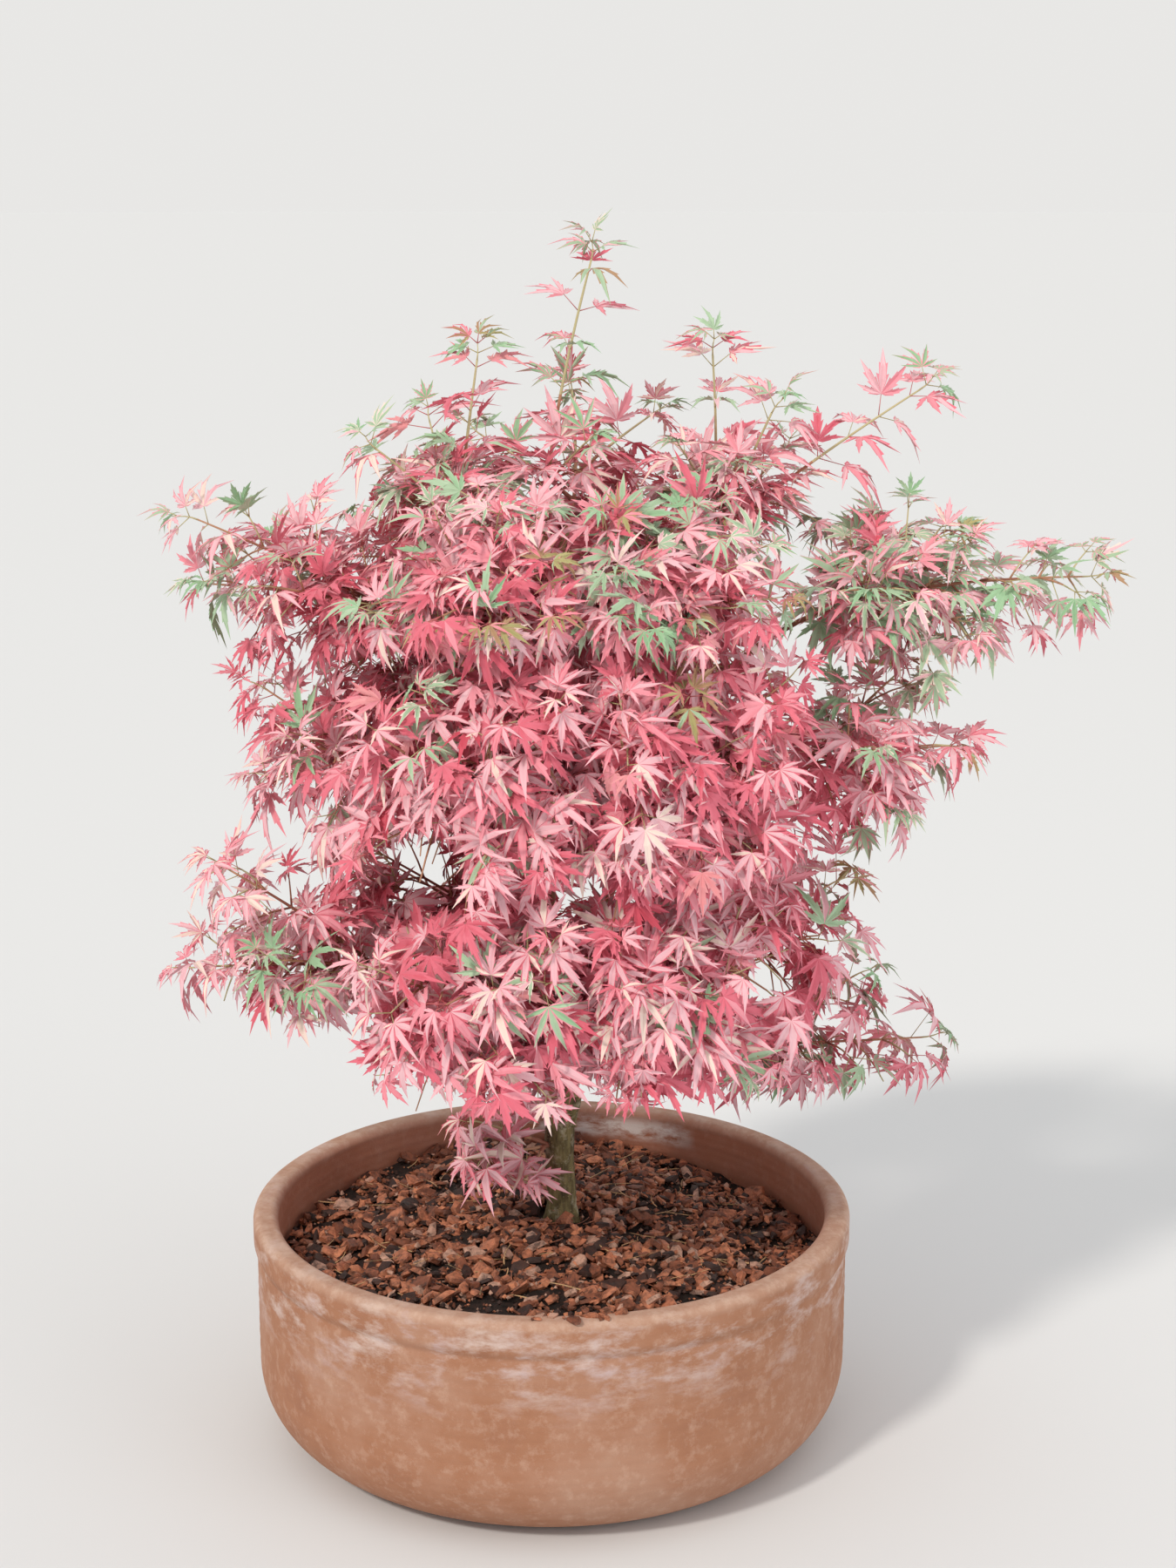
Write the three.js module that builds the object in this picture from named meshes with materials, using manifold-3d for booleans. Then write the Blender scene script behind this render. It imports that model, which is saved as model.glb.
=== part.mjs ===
// A young cut-leaf maple with pink variegated leaves, growing in a shallow terracotta pan
// that is topped with bark mulch. Millimetres, +Z up, origin at the middle of the pan's flat
// underside. Bearings are degrees round the trunk seen from above: 0 is +X, 90 is +Y (the back).
import * as THREE from "three";
import { mergeVertices } from "three/addons/utils/BufferGeometryUtils.js";
import Module from "manifold-3d";

const wasm = await Module();
wasm.setup();

// Driving dimensions
const GAP = 0.3; // clear space between two pieces that touch
const SLIVER = 0.04; // a joined solid is freed of facets thinner than this
const FACETS = 28; // sides of the turned pan and of what fills it

const PAN = {
  height: 165,
  rimRadius: 210,
  wallRadius: 207.5,
  wall: 15,
  rimBand: 24,
  lip: 6,
  corner: 58,
  innerCorner: 42,
  base: 16,
};
const DRAIN = { count: 3, radius: 10, ring: 78, facets: 8 };
const SOIL = { top: 112, facets: 14 };
const MULCH = {
  crown: 155,
  flat: 26,
  edge: 140,
  frontRise: 12,
  saddle: 11,
  lump: 3.2,
  rings: 5,
};
const TRUNK = {
  x: 7,
  foot: MULCH.crown + GAP,
  buried: 5,
  top: 240,
  footRadius: 13.5,
  waist: 10.2,
  topRadius: 9.8,
  flare: 0.16,
  sides: 10,
};
const STUB = { bearing: 318, out: 13, up: 249, radius: 6.2, root: 4.4 };
const TWIG = { sides: 3, facet: 90, step: 67, side: 2.4, tip: 1.5 };

// One leaf: a star of pointed lobes round the point where the stalk joins, each lobe with its
// angle and its share of the reach. The solids carry far fewer leaves than the real crown, so
// each is about twice as large as a real one.
const LEAF = {
  lobes: [
    [-92, 0.58],
    [-46, 0.9],
    [0, 1],
    [46, 0.9],
    [92, 0.58],
  ],
  reach: 56,
  sinus: 0.44,
  heel: 0.1,
  heelAngle: 148,
  stalk: 17,
  sink: 0.5,
  thick: 1.7,
  fall: 0.2,
};

// How a leaf finds its place: so many tries, each turned further and the last ones smaller; made
// larger by clear when tried against its neighbours; free to cross half of border into the next
// mass's space. Leaves larger than singleOver stand singly below a shoot's first pair.
const PLACING = { tries: 9, turn: 25, smallest: 0.72, clear: 0.8, border: 22, singleOver: 1.05 };

const COLOUR = {
  terracotta: 0xc9825c,
  bark: 0x6d3f2c,
  soil: 0x3a271d,
  wood: 0x5d5330,
  pink: 0xe88a94,
};

// The two stems: each leaves the trunk's top beside its axis (bearing and distance) and climbs
// to its end. A place in the crown is [bearing, distance from the trunk's axis, height].
const STEMS = [
  { name: "leader", beside: [185, 4.6], rise: 226, end: [135, 14, 640], thick: [5.6, 2.4] },
  { name: "second_stem", beside: [48, 6.2], rise: 226, end: [12, 98, 596], thick: [5, 2.4] },
];

// The round of the crown: four sectors of three tiers, each a bough with a mass on it whose
// shoots fan out to two bearings and two heights
const SECTORS = [
  { name: "front_left", stem: "leader", bearings: [229, 260], bough: 242, swell: 1 },
  { name: "front_right", stem: "second_stem", bearings: [286, 313], bough: 299, swell: 1 },
  { name: "back_right", stem: "second_stem", bearings: [76, 46], bough: 59, swell: 1.06 },
  { name: "back_left", stem: "leader", bearings: [106, 137], bough: 120, swell: 1.04 },
];
const TIERS = [
  {
    name: "low",
    bough: { rise: 284, end: [84, 328], thick: 3.3 },
    rows: [[213, 392], [204, 294]],
    hang: 0.92,
    leaf: 1.14,
  },
  {
    name: "middle",
    bough: { rise: 400, end: [95, 474], thick: 3 },
    rows: [[218, 456], [208, 552]],
    hang: 0.8,
    leaf: 1.15,
  },
  {
    name: "high",
    bough: { rise: 520, end: [84, 596], thick: 2.8 },
    rows: [[207, 613], [141, 692]],
    hang: 0.6,
    leaf: 1.1,
  },
];
const BOUGH = { end: 2.2, arch: 10, sides: 4, steps: 2 };
const STEM = { sides: 7, steps: 7 };

// The arms that reach out of the round, its open sides, and the shoots on its top. from and
// rise: the limb a bough leaves and at what height; tips: the furthest leaf tips, the first on
// the mass's own stem; hang: how far the leaves droop; leaf: their size. Masses with no bough
// grow on from a stem's end, or from the trunk's side.
const ARMS = [
  {
    name: "left_low",
    bough: { from: "leader", rise: 266, end: [181, 108, 330], thick: 3.6, arch: 14 },
    tips: [[180, 290, 338], [184, 256, 432], [168, 222, 300], [198, 228, 366]],
    hang: 0.6,
    leaf: 0.95,
  },
  {
    name: "left_middle",
    bough: { from: "leader", rise: 396, end: [184, 88, 462], thick: 3, arch: 10 },
    tips: [[182, 232, 556], [176, 236, 468], [158, 214, 500], [202, 208, 520]],
    hang: 0.5,
    leaf: 1,
  },
  {
    name: "left_high",
    bough: { from: "leader", rise: 492, end: [180, 96, 574], thick: 2.8, arch: 8 },
    tips: [[181, 272, 664], [176, 270, 606], [198, 226, 620], [162, 216, 640]],
    hang: 0.35,
    leaf: 0.85,
  },
  {
    name: "right_low",
    bough: { from: "second_stem", rise: 312, end: [356, 104, 352], thick: 3.3, arch: 10 },
    tips: [[342, 214, 380], [8, 222, 410], [358, 204, 326]],
    hang: 0.85,
    leaf: 1.05,
  },
  {
    name: "right_middle",
    bough: { from: "second_stem", rise: 422, end: [357, 136, 474], thick: 3, arch: 8 },
    tips: [[0, 298, 500], [346, 256, 450], [8, 256, 560], [336, 236, 520]],
    hang: 0.55,
    leaf: 1,
  },
  {
    name: "right_reach",
    bough: { from: "second_stem", rise: 500, end: [0, 148, 572], thick: 2.9, arch: 8 },
    tips: [[0, 386, 616], [3, 284, 652], [354, 300, 578], [338, 216, 618], [20, 206, 640]],
    hang: 0.35,
    leaf: 0.9,
  },
  {
    name: "back_right_low",
    bough: { from: "second_stem", rise: 250, end: [28, 106, 264], thick: 3.6, arch: 16 },
    tips: [[18, 314, 254], [23, 264, 318], [32, 214, 232], [52, 214, 352]],
    hang: 0.9,
    leaf: 0.9,
  },
  {
    name: "top_left",
    bough: { from: "leader", rise: 566, end: [188, 52, 628], thick: 2.7, arch: 6 },
    tips: [[176, 98, 740], [184, 144, 716], [196, 52, 784]],
    hang: 0.2,
    leaf: 0.75,
  },
  {
    name: "top_back",
    bough: { from: "leader", rise: 584, end: [82, 44, 642], thick: 2.7, arch: 6 },
    tips: [[86, 118, 752], [132, 122, 714], [48, 128, 728]],
    hang: 0.2,
    leaf: 0.85,
  },
  { name: "top_spire", on: "leader", tips: [[0, 26, 848], [300, 56, 716]], hang: 0.2, leaf: 0.75 },
  {
    name: "top_right",
    on: "second_stem",
    tips: [[2, 102, 788], [3, 266, 752], [352, 152, 748]],
    hang: 0.2,
    leaf: 0.8,
  },
  {
    name: "foot_tuft",
    on: "trunk",
    rise: 206,
    tips: [[217, 92, 214], [240, 66, 186], [196, 84, 240]],
    hang: 0.8,
    leaf: 0.7,
  },
];

// Daylight shows through the crown at the lower left: no leaf stands in this slanting tunnel
const OPENING = { x: -88, z: 405, run: [-0.0645, 1, -0.266], radius: 22 };

// Seeded draws: one short stream for each place, so that leaving one leaf out moves no other
class Draw {
  constructor(...places) {
    this.state = 20011;
    for (const place of places) {
      this.state = (Math.imul(this.state ^ (place + 101), 2654435761) + 40503) >>> 0;
    }
    for (let warm = 0; warm < 3; warm++) this.next();
  }
  next() {
    this.state = (Math.imul(this.state, 1664525) + 1013904223) >>> 0;
    return this.state / 4294967296;
  }
  between(low, high) {
    return low + (high - low) * this.next();
  }
}

const rad = (degrees) => (degrees * Math.PI) / 180;

// A place given by its bearing and distance from the trunk's axis, and its height
function around(bearing, out, up) {
  return new THREE.Vector3(TRUNK.x + out * Math.cos(rad(bearing)), out * Math.sin(rad(bearing)), up);
}

// Geometry to solid and back
function solidFrom(geometry) {
  const bare = geometry.clone();
  bare.deleteAttribute("normal");
  bare.deleteAttribute("uv");
  const merged = mergeVertices(bare, 1e-4);
  return new wasm.Manifold(
    new wasm.Mesh({
      numProp: 3,
      vertProperties: new Float32Array(merged.attributes.position.array),
      triVerts: new Uint32Array(merged.index.array),
    }),
  );
}

function geometryFrom(solid) {
  const mesh = solid.getMesh();
  const positions = new Float32Array(mesh.numVert * 3);
  for (let i = 0; i < mesh.numVert; i++) {
    positions.set(mesh.vertProperties.subarray(i * mesh.numProp, i * mesh.numProp + 3), i * 3);
  }
  const geometry = new THREE.BufferGeometry();
  geometry.setAttribute("position", new THREE.BufferAttribute(positions, 3));
  geometry.setIndex(new THREE.BufferAttribute(new Uint32Array(mesh.triVerts), 1));
  const faceted = geometry.toNonIndexed();
  faceted.computeVertexNormals();
  return faceted;
}

const meets = (one, other) => !one.intersect(other).isEmpty();

// Loose scraps are dropped and sealed hollows filled: only the largest shell is kept
function largestBody(solid) {
  return solid.decompose().reduce((best, body) => (body.volume() > best.volume() ? body : best));
}

// A turned shape from a profile of [radius, height] pairs that starts and ends on the axis
function turned(profile, facets) {
  const points = profile.map(([radius, height]) => new THREE.Vector2(radius, height));
  const lathe = new THREE.LatheGeometry(points, facets);
  lathe.rotateX(Math.PI / 2);
  return lathe;
}

// A closed tube along a curve whose radius changes: a cylinder bent on to the curve
function taperedTube(curve, radiusAt, sides, steps) {
  const tube = new THREE.CylinderGeometry(1, 1, 1, sides, steps);
  const frames = curve.computeFrenetFrames(steps, false);
  const place = tube.attributes.position;
  for (let i = 0; i < place.count; i++) {
    const step = Math.round((place.getY(i) + 0.5) * steps);
    const t = step / steps;
    const radius = radiusAt(t);
    const point = curve
      .getPointAt(t)
      .addScaledVector(frames.normals[step], place.getZ(i) * radius)
      .addScaledVector(frames.binormals[step], place.getX(i) * radius);
    place.setXYZ(i, point.x, point.y, point.z);
  }
  return tube;
}

const mix = (a, b, t) => a + (b - a) * t;

// The pan: a vertical wall on a rounded corner, with a rolled rim band and drain holes
function arc(cx, cz, radius, from, to, steps) {
  return Array.from({ length: steps + 1 }, (_, i) => {
    const angle = rad(mix(from, to, i / steps));
    return [cx + radius * Math.cos(angle), cz + radius * Math.sin(angle)];
  });
}

const PAN_INNER = PAN.wallRadius - PAN.wall;

function panSolid() {
  const { height, rimRadius, wallRadius, rimBand, lip, corner, innerCorner, base } = PAN;
  const profile = [
    [0, 0],
    ...arc(wallRadius - corner, corner, corner, -90, 0, 3),
    [wallRadius, height - rimBand - 2.5],
    [rimRadius, height - rimBand],
    ...arc(rimRadius - lip, height - lip, lip, 0, 90, 2),
    ...arc(PAN_INNER + lip, height - lip, lip, 90, 180, 2),
    ...arc(PAN_INNER - innerCorner, base + innerCorner, innerCorner, 0, -90, 2),
    [0, base],
  ];
  let pan = solidFrom(turned(profile, FACETS));
  for (let i = 0; i < DRAIN.count; i++) {
    const angle = rad(90 + (360 / DRAIN.count) * i);
    const hole = new THREE.CylinderGeometry(DRAIN.radius, DRAIN.radius, base * 3, DRAIN.facets);
    hole.rotateX(Math.PI / 2);
    hole.translate(DRAIN.ring * Math.cos(angle), DRAIN.ring * Math.sin(angle), 0);
    pan = pan.subtract(solidFrom(hole));
  }
  return pan;
}

// Potting soil fills the pan up to the mulch
function soilSolid() {
  const { innerCorner, base } = PAN;
  const radius = PAN_INNER - 3 * GAP;
  const foot = base + GAP;
  const profile = [
    [0, foot],
    ...arc(radius - innerCorner, foot + innerCorner, innerCorner, -90, 0, 2),
    [radius, SOIL.top],
    [0, SOIL.top],
  ];
  return solidFrom(turned(profile, SOIL.facets));
}

// Height of the mulch: level round the trunk, heaped at the front, low at the sides
function mulchHeight(radius, bearing, draw) {
  const front = MULCH.frontRise * Math.cos(rad(bearing - 275));
  const saddle = MULCH.saddle * Math.cos(rad(2 * (bearing - 280)));
  const share = THREE.MathUtils.smoothstep(radius, MULCH.flat, PAN_INNER);
  const lump = radius > MULCH.flat + 1 ? draw.between(-MULCH.lump, MULCH.lump) : 0;
  return mix(MULCH.crown, MULCH.edge + front + saddle, share) + lump;
}

function mulchSolid() {
  const outer = PAN_INNER - 2 * GAP;
  const floor = SOIL.top + GAP;
  const rings = Array.from({ length: MULCH.rings }, (_, i) => {
    return [mix(outer, MULCH.flat, i / (MULCH.rings - 1)), MULCH.crown];
  });
  const heap = turned([[0, floor], [outer, floor], ...rings, [0, MULCH.crown]], FACETS);
  const place = heap.attributes.position;
  for (let i = 0; i < place.count; i++) {
    if (place.getZ(i) < floor + 1) continue;
    const radius = Math.hypot(place.getX(i), place.getY(i));
    const bearing = Math.round((Math.atan2(place.getY(i), place.getX(i)) * 180) / Math.PI + 360) % 360;
    const draw = new Draw(7, Math.round(radius), bearing);
    place.setZ(i, mulchHeight(radius, bearing, draw));
  }
  return solidFrom(heap);
}

// The trunk: flat foot, root flare, slight lean, and the healed stump of a pruned stem
function trunkCurve() {
  return new THREE.CatmullRomCurve3([
    new THREE.Vector3(TRUNK.x, 0, TRUNK.foot - TRUNK.buried),
    new THREE.Vector3(TRUNK.x, 0, TRUNK.foot + 14),
    new THREE.Vector3(TRUNK.x - 1.5, 0, mix(TRUNK.foot, TRUNK.top, 0.55)),
    new THREE.Vector3(TRUNK.x, 0, TRUNK.top),
  ]);
}

function trunkRadius(t) {
  const body = mix(TRUNK.waist, TRUNK.topRadius, t);
  const flare = Math.max(0, 1 - t / TRUNK.flare);
  return body + (TRUNK.footRadius - TRUNK.waist) * flare * flare;
}

function trunkSolid(extra = 0) {
  const bole = solidFrom(taperedTube(trunkCurve(), (t) => trunkRadius(t) + extra, TRUNK.sides, 6));
  const root = around(STUB.bearing, STUB.root, TRUNK.top - 16);
  const end = around(STUB.bearing, STUB.out, STUB.up);
  const stump = taperedTube(new THREE.LineCurve3(root, end), () => STUB.radius + extra, 7, 1);
  return bole.add(solidFrom(stump)).trimByPlane([0, 0, 1], TRUNK.foot - extra);
}

// The masses of the round, one to each sector of each tier; one arm stands in for its sector
function roundMass(sector, tier) {
  const { rise, end, thick } = tier.bough;
  const [out, up] = end;
  const tips = tier.rows.flatMap(([reach, height]) =>
    sector.bearings.map((bearing) => [bearing, reach * sector.swell, height]),
  );
  return {
    name: `${sector.name}_${tier.name}`,
    bough: {
      from: sector.stem,
      rise,
      end: [sector.bough, out * sector.swell, up],
      thick,
      arch: BOUGH.arch,
    },
    tips,
    hang: tier.hang,
    leaf: tier.leaf,
  };
}

const ROUND = TIERS.flatMap((tier) => SECTORS.map((sector) => roundMass(sector, tier)));
const armNames = new Set(ARMS.map((arm) => arm.name));
const LAYOUT = [...ROUND.filter((mass) => !armNames.has(mass.name)), ...ARMS];

// Limbs: each leaves its parent's axis at the height given, and is cut clear of all before it
const limbs = new Map();
limbs.set("trunk", {
  curve: trunkCurve(),
  radiusAt: trunkRadius,
  solid: trunkSolid,
  shell: trunkSolid(GAP),
});

function pointAtHeight(curve, height) {
  let t = 0;
  while (t < 1 && curve.getPointAt(t).z < height) t += 0.005;
  return curve.getPointAt(Math.min(t, 1));
}

function stemCurve({ beside, rise, end }) {
  const [bearing, out] = beside;
  const root = around(bearing, out, rise);
  const tip = around(...end);
  const lift = tip.z - rise;
  const low = around(bearing, out * 1.9, rise + lift * 0.2);
  const middle = root.clone().lerp(tip, 0.55).setZ(rise + lift * 0.61);
  return new THREE.CatmullRomCurve3([root, low, middle, tip]);
}

function boughCurve({ from, rise, end, arch }) {
  const root = pointAtHeight(limbs.get(from).curve, rise);
  const tip = around(...end);
  const bend = root.clone().lerp(tip, 0.5);
  bend.z += arch;
  return new THREE.QuadraticBezierCurve3(root, bend, tip);
}

function addLimb(name, curve, [rootRadius, endRadius], { sides, steps }) {
  const radiusAt = (t) => mix(rootRadius, endRadius, t);
  const earlier = [...limbs.values()];
  const solid = (extra = 0) => {
    const tube = solidFrom(taperedTube(curve, (t) => radiusAt(t) + extra, sides, steps));
    const near = earlier.map((other) => other.shell).filter((shell) => meets(tube, shell));
    return largestBody(wasm.Manifold.difference([tube, ...near]));
  };
  limbs.set(name, { curve, radiusAt, solid, shell: solid(GAP) });
}

for (const stem of STEMS) addLimb(stem.name, stemCurve(stem), stem.thick, STEM);
for (const { name, bough } of LAYOUT) {
  if (bough) addLimb(`bough_${name}`, boughCurve(bough), [bough.thick, BOUGH.end], BOUGH);
}

// Foliage: shoots that branch from one stem, with pairs of leaves along them

// The point and direction at which a mass's stem grows on: from its limb's end, or its side
function stemStart(mass) {
  const { curve, radiusAt } = limbs.get(mass.on ?? `bough_${mass.name}`);
  if (mass.rise === undefined) {
    const direction = curve.getTangentAt(1);
    const end = curve.getPointAt(1).addScaledVector(direction, GAP);
    return { root: end, direction, radius: radiusAt(1) };
  }
  const root = pointAtHeight(curve, mass.rise);
  const [bearing, out] = mass.tips[0];
  const direction = around(bearing, out, mass.rise).sub(root).setZ(12).normalize();
  return { root, direction, radius: TWIG.side };
}

// The shoots are faceted: a place on one is taken along the straight stretch between two steps
function pointOn({ curve, steps }, t) {
  const step = Math.min(Math.floor(t * steps), steps - 1);
  return curve.getPointAt(step / steps).lerp(curve.getPointAt((step + 1) / steps), t * steps - step);
}

// The curves of a mass's shoots: the first is the stem, the others leave it near its root
function shootCurves(mass, number) {
  const start = stemStart(mass);
  let stem = null;
  return mass.tips.map((tip, index) => {
    const draw = new Draw(1, number, index);
    const from = index === 0 ? start.root : pointOn(stem, draw.between(0.06, 0.2) * (1 + index * 0.4));
    const leafTip = around(...tip);
    const aim = leafTip.clone().sub(from);
    const length = aim.length() - (LEAF.stalk + LEAF.reach * 0.8) * mass.leaf;
    const end = from.clone().addScaledVector(aim.normalize(), length);
    const bend = from.clone().lerp(end, 0.42);
    bend.z += length * draw.between(0.02, 0.1);
    if (index === 0) bend.copy(from).addScaledVector(start.direction, length * 0.35);
    const curve = new THREE.QuadraticBezierCurve3(from, bend, end);
    const thick = index === 0 ? start.radius : TWIG.side;
    const steps = Math.max(1, Math.round(length / TWIG.facet));
    const shoot = { curve, length, steps, radiusAt: (t) => mix(thick, TWIG.tip, t) };
    if (index === 0) stem = shoot;
    return shoot;
  });
}

// A leaf's frame: its stalk leaves the twig along stalk, and the blade falls forward from it
function leafFrame(node, stalk, facing, hang, size) {
  const across = new THREE.Vector3().crossVectors(facing, stalk).normalize();
  const forward = stalk.clone().applyAxisAngle(across, hang);
  const normal = new THREE.Vector3().crossVectors(forward, across).normalize();
  const heel = node.clone().addScaledVector(stalk, -LEAF.sink);
  const join = node.clone().addScaledVector(stalk, LEAF.stalk * size);
  return { heel, join, forward, across, normal };
}

// The leaf's outline with one apex over the join and one under it, so that it is always closed
function leafGeometry(frame, size, grow = 0) {
  const reach = LEAF.reach * size;
  const at = (degrees, distance, height) =>
    frame.join
      .clone()
      .addScaledVector(frame.forward, (distance + grow) * Math.cos(rad(degrees)))
      .addScaledVector(frame.across, (distance + grow) * Math.sin(rad(degrees)))
      .addScaledVector(frame.normal, height);
  const outline = [at(-LEAF.heelAngle, reach * LEAF.heel, 0)];
  LEAF.lobes.forEach(([angle, share], i) => {
    outline.push(at(angle, reach * share, -reach * share * LEAF.fall));
    const next = LEAF.lobes[i + 1];
    if (next) outline.push(at((angle + next[0]) / 2, reach * LEAF.sinus, 0));
  });
  outline.push(at(LEAF.heelAngle, reach * LEAF.heel, 0), frame.heel);
  const rim = outline.length;
  const faces = outline.flatMap((_, i) => {
    const next = (i + 1) % rim;
    return [rim, i, next, rim + 1, next, i];
  });
  const geometry = new THREE.BufferGeometry();
  geometry.setFromPoints([...outline, at(0, 0, LEAF.thick + grow), at(0, 0, -grow)]);
  geometry.setIndex(faces);
  return geometry;
}

const UP = new THREE.Vector3(0, 0, 1);
const LEAF_PAIR = [0, 180];

// Where the leaves of one shoot want to stand: one at its end, then opposite pairs towards its
// root, each pair turned from the last; large-leaved shoots carry single leaves near the root
function leafSeats(mass, shoot) {
  const seats = [{ t: 0.99, turn: 0, size: 0.85 * mass.leaf, last: true }];
  const pairs = Math.max(2, Math.round(shoot.length / (TWIG.step * mass.leaf)));
  for (let pair = 0; pair < pairs; pair++) {
    const t = mix(0.94, 0.22, pair / (pairs - 1));
    const single = pair > 0 && mass.leaf > PLACING.singleOver;
    for (const half of single ? [LEAF_PAIR[pair % 2]] : LEAF_PAIR) {
      seats.push({ t, turn: pair * 90 + half, size: mix(1, 0.85, t) * mass.leaf });
    }
  }
  return seats;
}

// The leaf of one seat, and the slightly larger blade that is tried against its neighbours
function leafAt(mass, shoot, seat, draw) {
  const node = pointOn(shoot, seat.t);
  const along = shoot.curve.getTangentAt(seat.t);
  const aside = Math.abs(along.z) > 0.9 ? new THREE.Vector3(1, 0, 0) : UP;
  const side = new THREE.Vector3().crossVectors(along, aside).normalize();
  side.applyAxisAngle(along, rad(seat.turn + draw.between(-35, 35)));
  const lean = draw.between(0.35, 0.75);
  const splayed = side.clone().multiplyScalar(0.85).addScaledVector(along, lean).normalize();
  const stalk = seat.last ? along : splayed;
  const outward = new THREE.Vector3(node.x - TRUNK.x, node.y, 0).normalize();
  const facing = UP.clone()
    .multiplyScalar(1 - 0.45 * mass.hang)
    .addScaledVector(outward, 0.2 + 0.8 * mass.hang)
    .addScaledVector(side, draw.between(-0.25, 0.25));
  const hang = mass.hang * draw.between(0.35, 0.95) + draw.between(-0.15, 0.15);
  const size = seat.size * draw.between(0.9, 1.1);
  const frame = leafFrame(node, stalk, facing, hang, size);
  const heel = frame.join.clone().addScaledVector(stalk, -LEAF.stalk * size * 0.5);
  return {
    leaf: leafGeometry(frame, size),
    blade: leafGeometry({ ...frame, heel }, size, PLACING.clear),
  };
}

// Distance from a point to the nearest stretch of a mass's shoots
function distanceTo(spine, point) {
  let best = Infinity;
  const nearest = new THREE.Vector3();
  for (const line of spine) {
    line.closestPointToPoint(point, true, nearest);
    best = Math.min(best, nearest.distanceTo(point));
  }
  return best;
}

function spineOf(shoots) {
  return shoots.flatMap((shoot) => {
    const points = shoot.curve.getSpacedPoints(shoot.steps);
    return points.slice(1).map((point, i) => new THREE.Line3(points[i], point));
  });
}

const openingRun = new THREE.Vector3(...OPENING.run).normalize();
const openingLine = new THREE.Ray(
  new THREE.Vector3(OPENING.x, 0, OPENING.z).addScaledVector(openingRun, -400),
  openingRun,
);

// A mass's space is whatever lies nearer to its own shoots than to any other's
function keepsToSpace(geometry, own, others) {
  const place = geometry.attributes.position;
  const rim = place.count - 2;
  const centre = new THREE.Vector3().fromBufferAttribute(place, rim);
  for (let i = 0; i < rim; i++) {
    const edge = new THREE.Vector3().fromBufferAttribute(place, i);
    for (const share of [1, 0.6]) {
      const point = centre.clone().lerp(edge, share);
      if (openingLine.distanceToPoint(point) < OPENING.radius) return false;
      const reach = distanceTo(own, point) - PLACING.border;
      if (others.some((spine) => distanceTo(spine, point) < reach)) return false;
    }
  }
  return true;
}

// Solids already in place, each with its box so that far ones are passed over quickly
function boxed(geometry) {
  geometry.computeBoundingBox();
  return { solid: solidFrom(geometry), box: geometry.boundingBox };
}

function touches(shape, placed) {
  return placed.some(({ solid, box }) => box.intersectsBox(shape.box) && meets(shape.solid, solid));
}

const masses = LAYOUT.map((mass, number) => {
  const shoots = shootCurves(mass, number);
  const twigs = shoots.map(({ curve, radiusAt, steps }) => {
    return boxed(taperedTube(curve, radiusAt, TWIG.sides, steps));
  });
  const seats = shoots.map((shoot) => leafSeats(mass, shoot));
  return { ...mass, number, shoots, twigs, seats, spine: spineOf(shoots), leaves: [] };
});
const limbShells = [...limbs.values()].map((limb) => boxed(geometryFrom(limb.solid(1.2))));
const heapShell = boxed(geometryFrom(mulchSolid().translate([0, 0, 2])));

// Tries one seat of a shoot: the leaf is turned and made smaller until it fits, or left out
function fillSeat(mass, index, rank, blades) {
  const seat = mass.seats[index][rank];
  const others = masses.filter((other) => other !== mass);
  const spines = others.map((other) => other.spine);
  const own = mass.twigs[index];
  const twigs = masses.flatMap((other) => other.twigs).filter((twig) => twig !== own);
  for (let attempt = 0; attempt < PLACING.tries; attempt++) {
    const draw = new Draw(2, mass.number, index, rank, attempt);
    const size = seat.size * mix(1, PLACING.smallest, attempt / PLACING.tries);
    const tried = { ...seat, size, turn: seat.turn + attempt * PLACING.turn };
    const shapes = leafAt(mass, mass.shoots[index], tried, draw);
    if (!keepsToSpace(shapes.leaf, mass.spine, spines)) continue;
    const leaf = boxed(shapes.leaf);
    const blade = boxed(shapes.blade);
    if (touches(leaf, [...twigs, ...limbShells, heapShell])) continue;
    if (touches(blade, [...blades, own])) continue;
    mass.leaves.push(leaf.solid);
    blades.push(blade);
    return;
  }
}

// Every shoot's end leaf first, then the pairs nearest the ends, and so on inwards
function growLeaves() {
  const blades = [];
  const ranks = Math.max(...masses.flatMap((mass) => mass.seats.map((seats) => seats.length)));
  for (let rank = 0; rank < ranks; rank++) {
    for (const mass of masses) {
      mass.seats.forEach((seats, index) => {
        if (rank < seats.length) fillSeat(mass, index, rank, blades);
      });
    }
  }
}

function massSolid(mass) {
  const solid = wasm.Manifold.union([...mass.twigs.map((twig) => twig.solid), ...mass.leaves]);
  const near = limbs.get(mass.on ?? `bough_${mass.name}`).shell;
  return largestBody(solid.subtract(near)).simplify(SLIVER);
}

// The assembled plant
const plant = new THREE.Group();

function addPart(name, solid, color, roughness) {
  const material = new THREE.MeshStandardMaterial({ color, roughness, metalness: 0 });
  const mesh = new THREE.Mesh(geometryFrom(solid), material);
  mesh.name = name;
  plant.add(mesh);
}

addPart("pot", panSolid(), COLOUR.terracotta, 0.9);
addPart("potting_soil", soilSolid(), COLOUR.soil, 1);
addPart("bark_mulch", mulchSolid(), COLOUR.bark, 0.95);
for (const [name, limb] of limbs) addPart(name, limb.solid(), COLOUR.wood, 0.8);
growLeaves();
for (const mass of masses) addPart(`foliage_${mass.name}`, massSolid(mass), COLOUR.pink, 0.7);

export default plant;
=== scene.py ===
"""The looks of a potted maple with pink variegated leaves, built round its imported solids.

Run as a script in Blender. Sizes in the growing rule are millimetres, as in the part's source;
meshes are metres. Bearings are degrees round the trunk from above: 0 is +X, 90 is the back.
"""

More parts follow.
